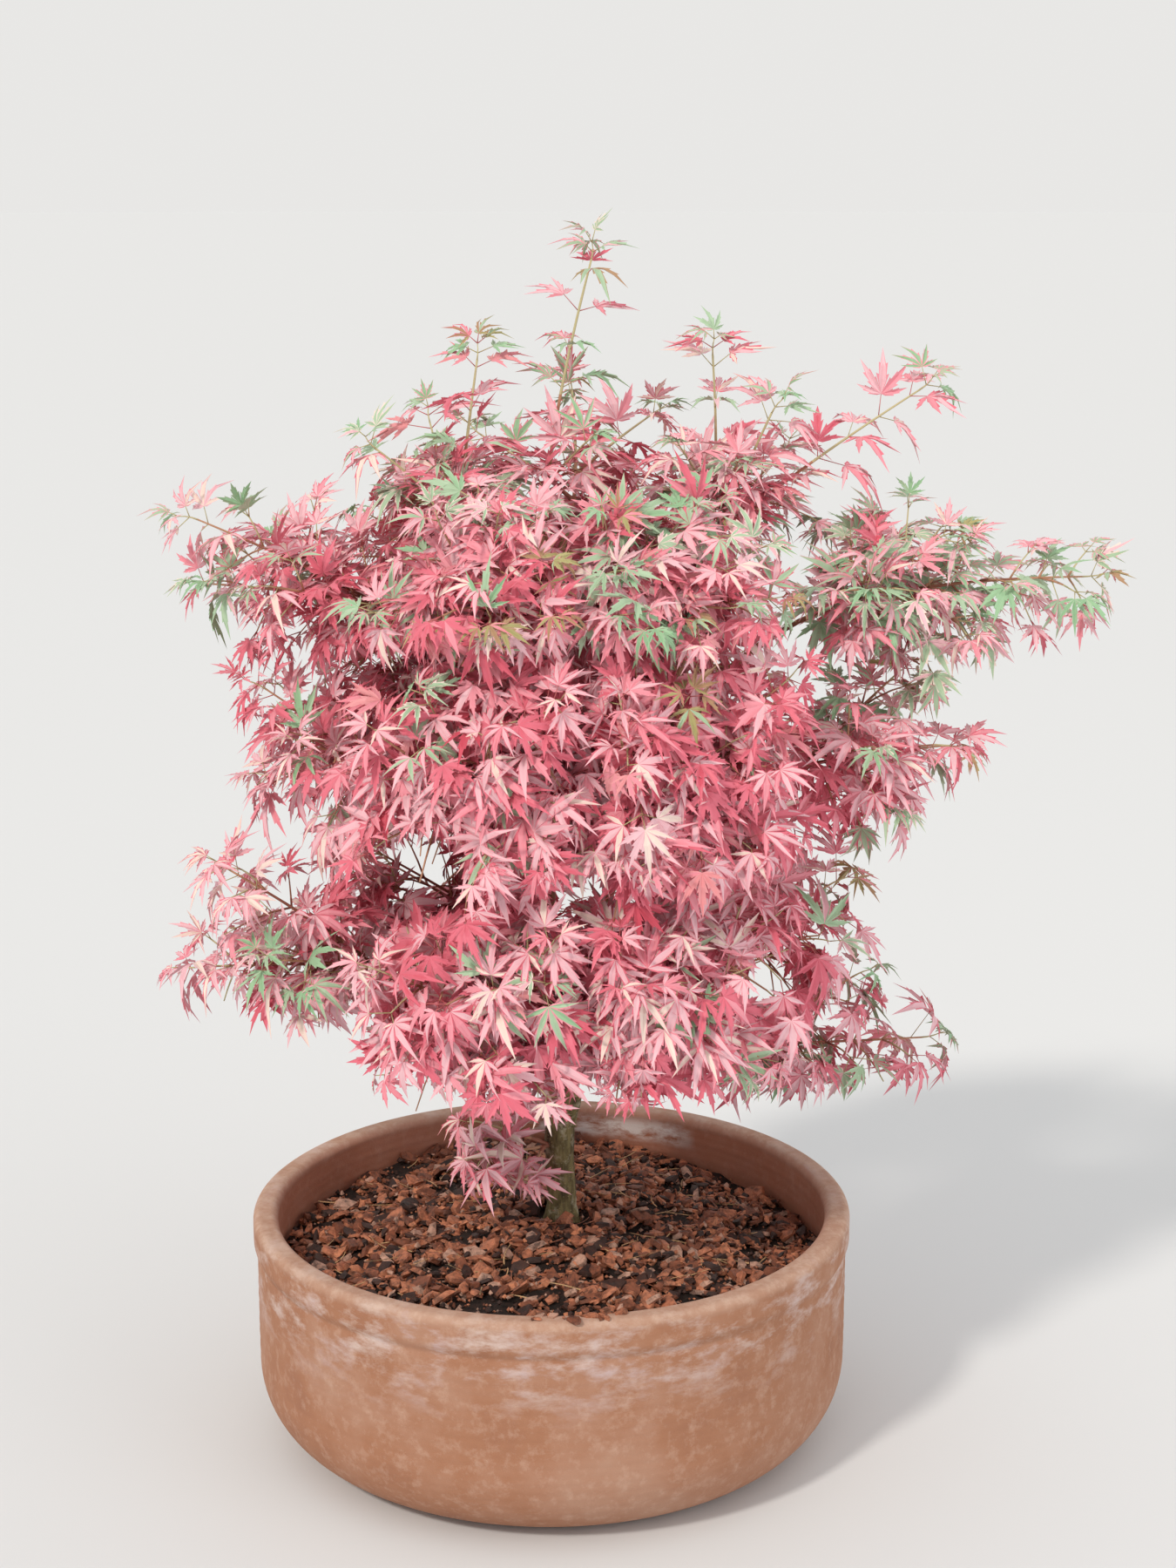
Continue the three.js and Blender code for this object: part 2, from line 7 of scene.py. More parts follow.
import bisect
import math

import bpy
import numpy as np
from bpy.props import FloatProperty, FloatVectorProperty, IntProperty, PointerProperty
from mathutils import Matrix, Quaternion, Vector, noise


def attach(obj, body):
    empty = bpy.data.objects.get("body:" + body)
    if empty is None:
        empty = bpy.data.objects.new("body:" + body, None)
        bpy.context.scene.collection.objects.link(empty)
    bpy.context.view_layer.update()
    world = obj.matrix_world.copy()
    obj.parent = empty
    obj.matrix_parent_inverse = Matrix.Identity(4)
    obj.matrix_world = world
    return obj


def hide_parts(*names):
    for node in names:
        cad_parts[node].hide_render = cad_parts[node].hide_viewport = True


bl_info = {
    "name": "Potted Maple Looks",
    "version": (1, 0, 0),
    "blender": (4, 5, 0),
    "location": "3D View > Sidebar > Maple",
    "description": "Dresses the packed maple, its terracotta pan and its bark mulch",
    "category": "Object",
}

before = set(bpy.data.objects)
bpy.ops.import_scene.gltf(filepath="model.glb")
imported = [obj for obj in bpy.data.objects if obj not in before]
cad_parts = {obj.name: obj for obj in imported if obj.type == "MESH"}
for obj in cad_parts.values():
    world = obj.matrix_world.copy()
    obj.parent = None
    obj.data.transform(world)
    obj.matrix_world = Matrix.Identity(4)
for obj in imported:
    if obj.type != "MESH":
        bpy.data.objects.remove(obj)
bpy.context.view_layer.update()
MM = 0.001
MOST_TRIANGLES = 200000

# The pan and what fills it, as in the part's source
PAN = {
    "height": 165.0,
    "rim_radius": 210.0,
    "wall_radius": 207.5,
    "wall": 15.0,
    "rim_band": 24.0,
    "lip": 6.0,
    "corner": 58.0,
    "inner_corner": 42.0,
    "base": 16.0,
}
DRAIN = {"count": 3, "radius": 10.0, "ring": 78.0}
MULCH = {
    "crown": 155.0,
    "flat": 26.0,
    "edge": 140.0,
    "front_rise": 12.0,
    "front_bearing": 275.0,
    "saddle": 11.0,
    "saddle_bearing": 280.0,
}
SOIL_TOP = 112.0
PAN_INNER = PAN["wall_radius"] - PAN["wall"]

# The trunk, the stub of a pruned stem, and the two stems. A stem starts beside the trunk's axis,
# at a bearing and a distance, and its end is a bearing, a distance and a height.
TRUNK = {
    "x": 7.0,
    "foot": 155.3,
    "buried": 5.0,
    "neck": 14.0,
    "lean": 1.5,
    "lean_at": 0.55,
    "top": 240.0,
    "foot_radius": 13.5,
    "waist": 10.2,
    "top_radius": 9.8,
    "flare": 0.16,
}
STUB = {"bearing": 318.0, "out": 13.0, "up": 249.0, "radius": 6.2, "root": 4.4}
STEMS = {
    "leader": {"beside": (185, 4.6), "rise": 226, "end": (135, 14, 640), "thick": (5.6, 2.4)},
    "second_stem": {"beside": (48, 6.2), "rise": 226, "end": (12, 98, 596), "thick": (5, 2.4)},
}
STEM_BEND = {"low_out": 1.9, "low_up": 0.2, "middle": 0.55, "middle_up": 0.61}
BOUGH = {"end": 2.2, "arch": 10.0}
TWIG = {"side": 2.4, "fill": 1.7, "tip": 0.7}
TUFT_REACH = 40.0

# The round of the crown: four sectors of three tiers. A tier's bough is the height it leaves its
# stem at, the distance and height of its end, and its thickness. Its rows and its gap are the
# distances and heights at which its shoots and the finer ones between them end. Its other values
# mean what they do for the arms.
SECTORS = {
    "front_left": {
        "stem": "leader",
        "bearings": (229, 260),
        "bough": 242,
        "swell": 1,
        "seams": (273,),
    },
    "front_right": {
        "stem": "second_stem",
        "bearings": (286, 313),
        "bough": 299,
        "swell": 1,
        "seams": (280, 329),
    },
    "back_right": {
        "stem": "second_stem",
        "bearings": (76, 46),
        "bough": 59,
        "swell": 1.06,
        "seams": (91,),
    },
    "back_left": {
        "stem": "leader",
        "bearings": (106, 137),
        "bough": 120,
        "swell": 1.04,
        "seams": (152,),
    },
}
TIERS = {
    "low": {
        "bough": (284, 84, 328, 3.3),
        "rows": ((213, 392), (204, 294)),
        "gap": (201, 424),
        "hang": 0.92,
        "leaf": 1.14,
        "green": 0.12,
        "pale": 1.3,
        "floor": 281,
    },
    "middle": {
        "bough": (400, 95, 474, 3),
        "rows": ((218, 456), (208, 552)),
        "gap": (206, 584),
        "hang": 0.8,
        "leaf": 1.15,
        "green": 0.3,
    },
    "high": {
        "bough": (520, 84, 596, 2.8),
        "rows": ((207, 613), (141, 692)),
        "gap": (182, 652),
        "hang": 0.6,
        "leaf": 1.1,
        "green": 1.2,
    },
}

ROUND_AIRY = 0.9

# Where a sector's finer shoots end: past its bough's end and above it, short of the upper row,
# near the stems, and at the seams between two sectors
FILL = {"past": 110, "above": 8, "short": 20, "core": 58, "core_drop": 6, "seam": 0.96}

# How often the sprays of the young top shoots take each tint
YOUNG_TINTS = {
    "blush": 2.6,
    "pale": 1.8,
    "rose": 1.2,
    "sage": 2.2,
    "green": 0.8,
    "salmon": 0.5,
    "bronze": 0.3,
}

# The arms, the open sides and the top shoots. A bough is its stem, the height it leaves at, its
# end, its thickness and its arch. A mass that has none grows "on" from the end of a limb, or from
# its side at the height "rise". Its shoots end at "tips" and finer ones at "fill". Past the share
# "airy" of its length a shoot bears pairs of leaves and no side twigs, and up to the share "bare"
# it bears nothing. "hang" is how much its leaves droop, and none hangs below "floor". "leaf" makes
# leaves and side twigs larger, "grow" the leaves alone, and "space" sets them further apart.
# "green" is how readily they keep their green, "pale" how often they are pale, and "tints" how
# often their sprays take each tint.
ARMS = {
    "left_low": {
        "bough": ("leader", 266, (181, 108, 330), 3.6, 14),
        "tips": ((180, 290, 338), (184, 256, 432), (168, 222, 300), (198, 228, 366)),
        "hang": 0.42,
        "leaf": 0.95,
        "airy": 0.9,
        "floor": 288,
        "green": 0.5,
    },
    "left_middle": {
        "bough": ("leader", 396, (184, 88, 462), 3, 10),
        "tips": ((182, 232, 556), (176, 236, 468), (158, 214, 500), (202, 208, 520)),
        "hang": 0.32,
        "leaf": 1,
        "airy": 0.8,
        "green": 0.5,
    },
    "left_high": {
        "bough": ("leader", 492, (180, 96, 574), 2.8, 8),
        "tips": ((181, 272, 664), (176, 270, 606), (198, 226, 620), (162, 216, 640)),
        "hang": 0.22,
        "leaf": 0.85,
        "airy": 0.78,
        "grow": 1.1,
        "green": 1.5,
    },
    "right_low": {
        "bough": ("second_stem", 312, (356, 104, 352), 3.3, 10),
        "tips": ((342, 214, 380), (8, 222, 410), (358, 204, 326)),
        "hang": 0.85,
        "leaf": 1.05,
        "airy": 0.9,
        "grow": 1.12,
        "floor": 245,
        "green": 0.8,
    },
    "right_middle": {
        "bough": ("second_stem", 422, (357, 136, 474), 3, 8),
        "tips": ((0, 298, 500), (346, 256, 450), (8, 256, 560), (336, 236, 520)),
        "hang": 0.4,
        "leaf": 1,
        "airy": 0.93,
        "green": 2.6,
    },
    "right_reach": {
        "bough": ("second_stem", 500, (0, 148, 572), 2.9, 8),
        "tips": ((0, 386, 616), (3, 284, 652), (354, 300, 578), (338, 216, 618), (20, 206, 640)),
        "hang": 0.22,
        "leaf": 0.9,
        "airy": 0.97,
        "grow": 1.15,
        "tints": {"sage": 5, "green": 2.4, "pale": 1.6, "blush": 2, "rose": 0.6, "bronze": 0.4},
        "green": 1.5,
    },
    "back_right_low": {
        "bough": ("second_stem", 250, (28, 106, 264), 3.6, 16),
        "tips": ((18, 314, 254), (23, 264, 318), (32, 214, 232), (52, 214, 352)),
        "hang": 0.9,
        "leaf": 0.9,
        "airy": 0.85,
        "grow": 1.12,
        "floor": 205,
        "green": 3,
    },
    "top_left": {
        "bough": ("leader", 566, (188, 52, 628), 2.7, 6),
        "tips": ((176, 98, 740), (184, 144, 716), (196, 52, 784)),
        "hang": 0.2,
        "leaf": 0.75,
        "fill": ((178, 124, 676), (206, 84, 700), (150, 96, 704)),
        "airy": 0.3,
        "space": 1.2,
        "grow": 1.15,
        "tints": YOUNG_TINTS,
        "green": 3,
    },
    "top_back": {
        "bough": ("leader", 584, (82, 44, 642), 2.7, 6),
        "tips": ((86, 118, 752), (132, 122, 714), (48, 128, 728)),
        "hang": 0.2,
        "leaf": 0.85,
        "airy": 0.1,
        "bare": 0.3,
        "space": 1.3,
        "grow": 1.15,
        "tints": YOUNG_TINTS,
        "green": 2.5,
    },
    "top_spire": {
        "on": "leader",
        "tips": ((0, 26, 848), (300, 56, 716)),
        "hang": 0.2,
        "leaf": 0.75,
        "airy": 0.12,
        "space": 1.3,
        "grow": 1.25,
        "tints": YOUNG_TINTS,
        "green": 3,
    },
    "top_right": {
        "on": "second_stem",
        "tips": ((2, 102, 788), (3, 266, 752), (352, 152, 748)),
        "hang": 0.2,
        "leaf": 0.8,
        "fill": ((340, 132, 700), (14, 176, 712), (330, 84, 712)),
        "airy": 0.3,
        "space": 1.2,
        "grow": 1.15,
        "tints": YOUNG_TINTS,
        "green": 3,
    },
    "foot_tuft": {
        "on": "trunk",
        "rise": 206,
        "tips": ((217, 92, 214), (240, 66, 186), (196, 84, 240)),
        "hang": 0.8,
        "leaf": 0.7,
        "airy": 0,
        "bare": 0.45,
        "space": 1.3,
        "grow": 1.2,
        "floor": 168,
        # the tuft's leaves are pale, and dealing them pale tints only also paints light on them, since
        # the crown shades them
        "tints": {"pale": 3, "cream": 2.5, "blush": 0.5},
        "green": 0.5,
    },
}
SOURCE_LEAF = {"stalk": 17.0, "reach": 56.0}

# The sides and rings of each kind of tube
TUBES = {
    "trunk": (56, 90),
    "stub": (32, 30),
    "stem": (20, 120),
    "bough": (12, 24),
    "shoot": (6, 14),
    "twig": (4, 3),
    "stalk": (3, 1),
    "fibre": (3, 4),
}

# Where the tints change: over the crown's height; in its shaded heart, where deeper tints are painted
# shade; and in its outer shell, where paler tints are painted light
CROWN_FOOT = 230
CROWN_HEIGHT = 520
SHADED_HEART = {"radius": 180, "fade": 110, "top": 660, "top_fade": 90}
LIT_SHELL = (150, 270)

# A shoot whose side twigs end before this share of its length is young. On the others, twigs and
# leaves are young past these shares: a pair on the shoot, a twig's skin, its end and its last pair.
YOUNG_AIRY = 0.45
YOUNG_PAST = {"pair": 0.55, "skin": 0.7, "end": 0.6, "last_pair": 0.8}

# How far a leaf stays from the rim's outside, from the inner wall and from what is under it
LEAF_CLEARANCE = {"outside": 3.0, "wall": 6.0, "under": 5.0}

# Where the most light comes from: the leaves of the front and the sides turn some way to it
LIGHT_SIDE = Vector((-0.42, -0.56, 0.71))

# No leaf stands in these slanting tunnels, each a place, a direction and a radius: daylight
# shows through the crown at the lower left, and under the middle tier at the right, and the
# trunk's right half is seen from the front
OPENINGS = (
    ((-88, 0, 405), (-0.0645, 1, -0.266), 30),
    ((152, 0, 325), (0.07, 1, -0.311), 24),
    ((194, 0, 347), (0.094, 1, -0.298), 16),
    ((16, 0, 182), (-0.009, 1, -0.388), 17),
    ((16, 0, 206), (-0.009, 1, -0.376), 17),
)

# The camera stands where the rim's ellipse in the photograph puts it
CAMERA = {"lens": 60.9, "sensor": 36.0, "place": (0.0256, -1.764, 0.874), "down": 13.0}
LIGHTS_AIM = Vector((0, 0, 0.4))
SUN_PLACE = (-1.5, -2.0, 2.6)
LAMP_PLACE = (2.4, -1.8, 1.4)


# Colour and material helpers


def linear(code):
    """A colour from its sRGB hex code, as Blender's linear values"""
    values = [int(code[i : i + 2], 16) / 255 for i in (1, 3, 5)]
    return tuple(v / 12.92 if v <= 0.04045 else ((v + 0.055) / 1.055) ** 2.4 for v in values) + (1.0,)


def toned(colour, factor):
    """A colour made darker or lighter by a factor"""
    return tuple(min(value * factor, 1) for value in colour[:3]) + (1.0,)


def add_node(tree, kind, inputs=None, **settings):
    """Adds a node with its settings, and sets or links its inputs"""
    node = tree.nodes.new(kind)
    for name, value in settings.items():
        setattr(node, name, value)
    for socket, value in (inputs or {}).items():
        if isinstance(value, bpy.types.NodeSocket):
            tree.links.new(value, node.inputs[socket])
        else:
            node.inputs[socket].default_value = value
    return node


def new_material(name, colour, roughness):
    """A material with one shader, its plain colour and roughness set on it"""
    material = bpy.data.materials.new(name)
    material.use_nodes = True
    material.diffuse_color = colour
    shader = material.node_tree.nodes["Principled BSDF"]
    shader.inputs["Base Color"].default_value = colour
    shader.inputs["Roughness"].default_value = roughness
    return material, material.node_tree, shader


def per(size_mm):
    """The texture scale at which one feature is this many millimetres"""
    return 1000.0 / size_mm


def ramp(tree, source, stops):
    """A colour ramp over a value: stops are pairs of place and colour"""
    node = add_node(tree, "ShaderNodeValToRGB", {"Fac": source})
    elements = node.color_ramp.elements
    while len(elements) < len(stops):
        elements.new(1.0)
    for element, (place, colour) in zip(elements, stops):
        element.position = place
        element.color = colour
    return node.outputs["Color"]


def bump(tree, shader, height, distance_mm, strength=1.0, under=None):
    """Raises the surface by a height value, and hands the new normal to the shader"""
    inputs = {"Height": height, "Distance": distance_mm * MM, "Strength": strength}
    if under is not None:
        inputs["Normal"] = under
    node = add_node(tree, "ShaderNodeBump", inputs)
    tree.links.new(node.outputs["Normal"], shader.inputs["Normal"])
    return node.outputs["Normal"]


def mixed(tree, share, first, second):
    """Two colours mixed by a share"""
    node = add_node(tree, "ShaderNodeMix", data_type="RGBA")
    for socket, value in ((node.inputs[0], share), (node.inputs[6], first), (node.inputs[7], second)):
        if isinstance(value, bpy.types.NodeSocket):
            tree.links.new(value, socket)
        else:
            socket.default_value = value
    return node.outputs[2]


def spread(tree, value, low, high, to_low=0.0, to_high=1.0):
    """A value brought from one range to another and held inside it"""
    node = add_node(
        tree,
        "ShaderNodeMapRange",
        {"Value": value, "From Min": low, "From Max": high, "To Min": to_low, "To Max": to_high},
    )
    return node.outputs["Result"]


def times(tree, first, second):
    """Two values multiplied"""
    node = add_node(tree, "ShaderNodeMath", {0: first, 1: second}, operation="MULTIPLY")
    return node.outputs[0]


# Joined meshes


class Joined:
    """Gathers many small shapes into one mesh of triangles, each with its own material slot"""

    def __init__(self):
        self.points = []
        self.faces = []
        self.slots = []
        self.count = 0

    def add(self, points, faces, slots):
        """Adds a shape, with one slot for all its faces or one for each"""
        self.points.append(points)
        self.faces.append(faces + self.count)
        self.slots.append(np.broadcast_to(slots, len(faces)))
        self.count += len(points)

    def piece(self, name, materials, smooth):
        """Makes all the shapes one object, and brings its points from millimetres to metres"""
        points = np.concatenate(self.points).astype(np.float32) * MM
        faces = np.concatenate(self.faces).astype(np.int32)
        mesh = bpy.data.meshes.new(name)
        mesh.vertices.add(len(points))
        mesh.vertices.foreach_set("co", points.ravel())
        mesh.loops.add(len(faces) * 3)
        mesh.loops.foreach_set("vertex_index", faces.ravel())
        mesh.polygons.add(len(faces))
        mesh.polygons.foreach_set("loop_start", np.arange(0, len(faces) * 3, 3, dtype=np.int32))
        for material in materials:
            mesh.materials.append(material)
        mesh.polygons.foreach_set("material_index", np.concatenate(self.slots).astype(np.int32))
        mesh.update(calc_edges=True)
        mesh.validate()
        if smooth:
            mesh.shade_smooth()
        else:
            mesh.shade_flat()
        piece = bpy.data.objects.new(name, mesh)
        bpy.context.collection.objects.link(piece)
        return piece


def check_piece(piece):
    """Stops the build where a piece came out empty or too large to carry"""
    piece.data.calc_loop_triangles()
    triangles = len(piece.data.loop_triangles)
    if not 0 < triangles < MOST_TRIANGLES:
        raise RuntimeError(f"{piece.name} has {triangles} triangles")


def select_only(piece):
    """Makes a piece the one that the next operators act on"""
    bpy.ops.object.select_all(action="DESELECT")
    piece.select_set(True)
    bpy.context.view_layer.objects.active = piece


def settle(piece, nodes):
    """Puts a finished piece on the plant's one body, in place of its solids"""
    check_piece(piece)
    missing = [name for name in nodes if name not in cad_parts]
    if missing:
        raise RuntimeError(f"{piece.name} replaces nodes that the frame lacks: {missing}")
    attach(piece, "root")
    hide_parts(*nodes)


# The growing rule of the part's source, written again


# A number for each kind of thing that is drawn. The shoots' is the source's.
STREAMS = {
    "shoot": 1,
    "twig_relief": 3,
    "node": 4,
    "tuft": 5,
    "grown_leaf": 11,
    "young_leaf": 12,
    "flake": 21,
    "chip": 22,
    "rim_chip": 23,
    "fibre": 24,
    "crumb": 25,
}


class Draw:
    """One short seeded stream for each thing in its place, so that leaving one leaf out moves no
    other. Its numbers come by a linear congruence, as in the source."""

    SEED = 20011
    HASH = 2654435761
    HASH_STEP = 40503
    HASH_SHIFT = 101
    FACTOR = 1664525
    STEP = 1013904223
    RANGE = 2**32

    def __init__(self, kind, *places):
        self.state = self.SEED
        for place in (STREAMS[kind], *places):
            mingled = self.state ^ (place + self.HASH_SHIFT)
            self.state = (mingled * self.HASH + self.HASH_STEP) % self.RANGE
        for _ in range(3):
            self.next()

    def next(self):
        self.state = (self.state * self.FACTOR + self.STEP) % self.RANGE
        return self.state / self.RANGE

    def between(self, low, high):
        return low + (high - low) * self.next()

    def pick(self, items):
        return items[int(self.next() * len(items))]

    def weighted(self, weights):
        mark = self.next() * sum(weights.values())
        for name, weight in weights.items():
            mark -= weight
            if mark < 0:
                return name
        return name


def mix(first, second, share):
    """The value at a share of the way from the first to the second"""
    return first + (second - first) * share


def smoothstep(value, low, high):
    """A soft step from 0 below low to 1 above high"""
    share = min(max((value - low) / (high - low), 0), 1)
    return share * share * (3 - 2 * share)


def tapered(root, tip):
    """The radius along a limb, by share, from its root's to its tip's"""
    return lambda share: mix(root, tip, share)


def on_circle(radius, bearing):
    """X and Y at a distance and a bearing from the pan's axis"""
    turn = math.radians(bearing)
    return radius * math.cos(turn), radius * math.sin(turn)


def around(bearing, out, up):
    """A place by its bearing and distance from the trunk's axis, and its height"""
    turn = math.radians(bearing)
    return Vector((TRUNK["x"] + out * math.cos(turn), out * math.sin(turn), up))


class Course:
    """A way through space that is walked by its length, from 0 to 1"""

    def __init__(self, points):
        self.points = points
        self.reach = [0.0]
        for here, there in zip(points, points[1:]):
            self.reach.append(self.reach[-1] + (there - here).length)
        self.length = self.reach[-1]

    def stretch(self, share):
        """The number of the straight stretch at a share of the way, and how far along it"""
        distance = share * self.length
        step = min(max(bisect.bisect_right(self.reach, distance) - 1, 0), len(self.points) - 2)
        span = self.reach[step + 1] - self.reach[step]
        return step, (distance - self.reach[step]) / span

    def at(self, share):
        step, part = self.stretch(share)
        return self.points[step].lerp(self.points[step + 1], part)

    def tangent(self, share):
        step, _ = self.stretch(share)
        return (self.points[step + 1] - self.points[step]).normalized()


def bent(start, bend, end, steps=120):
    """A curve from start to end, drawn towards bend"""
    shares = [i / steps for i in range(steps + 1)]
    return Course([start * (1 - t) ** 2 + bend * (2 * t * (1 - t)) + end * t**2 for t in shares])


def through(places, steps=200):
    """A smooth curve through all the places, as centripetal Catmull-Rom"""
    ends = [places[0] * 2 - places[1], *places, places[-1] * 2 - places[-2]]
    points = []
    for i in range(steps + 1):
        span = min(i * (len(places) - 1) // steps, len(places) - 2)
        t = i * (len(places) - 1) / steps - span
        p0, p1, p2, p3 = ends[span : span + 4]
        d0, d1, d2 = ((b - a).length ** 0.5 for a, b in ((p0, p1), (p1, p2), (p2, p3)))
        m1 = ((p1 - p0) / d0 - (p2 - p0) / (d0 + d1) + (p2 - p1) / d1) * d1
        m2 = ((p2 - p1) / d1 - (p3 - p1) / (d1 + d2) + (p3 - p2) / d2) * d1
        c2 = (p2 - p1) * 3 - m1 * 2 - m2
        c3 = (p1 - p2) * 2 + m1 + m2
        points.append(p1 + m1 * t + c2 * t**2 + c3 * t**3)
    return Course(points)


def trunk_course():
    """The trunk's axis, from under the mulch to the fork"""
    x, foot, top = TRUNK["x"], TRUNK["foot"], TRUNK["top"]
    return through(
        [
            Vector((x, 0, foot - TRUNK["buried"])),
            Vector((x, 0, foot + TRUNK["neck"])),
            Vector((x - TRUNK["lean"], 0, mix(foot, top, TRUNK["lean_at"]))),
            Vector((x, 0, top)),
        ]
    )


def trunk_radius(share):
    """The trunk's radius, with its root flare"""
    body = mix(TRUNK["waist"], TRUNK["top_radius"], share)
    flare = max(0, 1 - share / TRUNK["flare"])
    return body + (TRUNK["foot_radius"] - TRUNK["waist"]) * flare**2


def stem_course(stem):
    """A stem's axis: it leaves the fork steeply and then leans out to its end"""
    bearing, out = stem["beside"]
    root = around(bearing, out, stem["rise"])
    tip = around(*stem["end"])
    lift = tip.z - stem["rise"]
    low = around(bearing, out * STEM_BEND["low_out"], stem["rise"] + lift * STEM_BEND["low_up"])
    middle = root.lerp(tip, STEM_BEND["middle"])
    middle.z = root.z + lift * STEM_BEND["middle_up"]
    return through([root, low, middle, tip])


def point_at_height(course, height):
    """The first place on a rising course that is at least this high"""
    share = 0.0
    while share < 1 and course.at(share).z < height:
        share += 0.005
    return course.at(min(share, 1))


def layout():
    """Every mass of foliage in the source's order, which its draws count by"""
    masses = []
    for tier_name, tier in TIERS.items():
        rise, out, up, thick = tier["bough"]
        for sector_name, sector in SECTORS.items():
            name = f"{sector_name}_{tier_name}"
            if name in ARMS:
                continue
            swell = sector["swell"]
            tips = [(b, reach * swell, z) for reach, z in tier["rows"] for b in sector["bearings"]]
            bough = (sector["stem"], rise, (sector["bough"], out * swell, up), thick, BOUGH["arch"])
            gap_reach, gap_up = tier["gap"]
            upper_reach = tier["rows"][1][0]
            fill = [
                (sector["bough"], out * swell + FILL["past"], up + FILL["above"]),
                (sector["bough"], (upper_reach - FILL["short"]) * swell, gap_up),
                (sector["bough"], FILL["core"], gap_up - FILL["core_drop"]),
            ]
            for seam in sector["seams"]:
                fill += [(seam, reach * swell * FILL["seam"], z) for reach, z in tier["rows"]]
                fill.append((seam, gap_reach * swell, gap_up))
            mass = {"name": name, "bough": bough, "tips": tips, "fill": fill, "airy": ROUND_AIRY}
            masses.append({**tier, **mass})
    masses += [{**arm, "name": name} for name, arm in ARMS.items()]
    return masses


def grow_limbs(masses):
    """The courses of the trunk, the stems and the boughs, each with its radius along it"""
    limbs = {"trunk": (trunk_course(), trunk_radius)}
    for name, stem in STEMS.items():
        limbs[name] = (stem_course(stem), tapered(*stem["thick"]))
    for mass in masses:
        if "bough" not in mass:
            continue
        parent, rise, end, thick, arch = mass["bough"]
        root = point_at_height(limbs[parent][0], rise)
        tip = around(*end)
        bend = root.lerp(tip, 0.5)
        bend.z += arch
        limbs["bough_" + mass["name"]] = (bent(root, bend, tip), tapered(thick, BOUGH["end"]))
    return limbs


def shoot_courses(mass, number, limbs):
    """A mass's shoots: the first is its stem, the others leave it near its root. They bend as the
    source's do and run on past them, since the source's leaves are larger. Finer shoots fill the
    room between."""
    course, radius_at = limbs[mass.get("on", "bough_" + mass["name"])]
    if "rise" in mass:
        root = point_at_height(course, mass["rise"])
        bearing, out, _ = mass["tips"][0]
        direction = around(bearing, out, mass["rise"]) - root
        direction.z = 12
        direction.normalize()
        radius = TWIG["side"]
    else:
        root = course.at(1)
        direction = course.tangent(1)
        radius = radius_at(1)
    shoots = []
    for index, tip in enumerate([*mass["tips"], *mass.get("fill", ())]):
        draw = Draw("shoot", number, index)
        start = root
        thick = TWIG["side"]
        if index == 0:
            thick = radius
        elif index < len(mass["tips"]):
            start = shoots[0][0].at(draw.between(0.06, 0.2) * (1 + index * 0.4))
        else:
            start = shoots[0][0].at(draw.between(0.08, 0.5))
            thick = TWIG["fill"]
        aim = around(*tip) - start
        source_leaf = (SOURCE_LEAF["stalk"] + SOURCE_LEAF["reach"] * 0.8) * mass["leaf"]
        source_length = aim.length - source_leaf
        bend = start + aim.normalized() * source_length * 0.42
        bend.z += source_length * draw.between(0.02, 0.1)
        if index == 0:
            bend = start + direction * source_length * 0.35
        end = start + aim.normalized() * (aim.length - TUFT_REACH * mass["leaf"])
        shoots.append((bent(start, bend, end), thick))
    return shoots


# Tubes for wood, twigs and stalks

tube_faces = {}


def faces_of_tube(sides, rings):
    """The triangles of a closed tube, ring after ring, and last its two ends"""
    if (sides, rings) not in tube_faces:
        faces = []
        for ring in range(rings):
            for side in range(sides):
                a = ring * sides + side
                b = ring * sides + (side + 1) % sides
                faces += [(a, b, b + sides), (a, b + sides, a + sides)]
        foot, head = (rings + 1) * sides, (rings + 1) * sides + 1
        for side in range(sides):
            after = (side + 1) % sides
            faces.append((foot, after, side))
            faces.append((head, rings * sides + side, rings * sides + after))
        tube_faces[sides, rings] = np.array(faces)
    return tube_faces[sides, rings]


def tube(course, radius_at, sides, rings, relief=None):
    """The points of a closed tube along a course; relief moves a point in or out"""
    points = []
    across = course.tangent(0).orthogonal().normalized()
    for ring in range(rings + 1):
        share = ring / rings
        along = course.tangent(share)
        across = (across - along * across.dot(along)).normalized()
        aside = along.cross(across)
        centre = course.at(share)
        radius = radius_at(share)
        for side in range(sides):
            turn = 2 * math.pi * side / sides
            out = across * math.cos(turn) + aside * math.sin(turn)
            spot = centre + out * radius
            if relief:
                spot += out * relief(spot, share, turn)
            points.append(spot)
    points += [course.at(0), course.at(1)]
    return np.array(points)


def add_tube(joined, course, radius_at, sides, rings, slots, relief=None):
    """Adds a tube whose colour changes from the first slot to the last along it"""
    faces = faces_of_tube(sides, rings)
    share = np.minimum(np.arange(len(faces)) / (rings * sides * 2), 0.999)
    picked = np.array(slots)[(share * len(slots)).astype(int)]
    joined.add(tube(course, radius_at, sides, rings, relief), faces, picked)


# Leaves


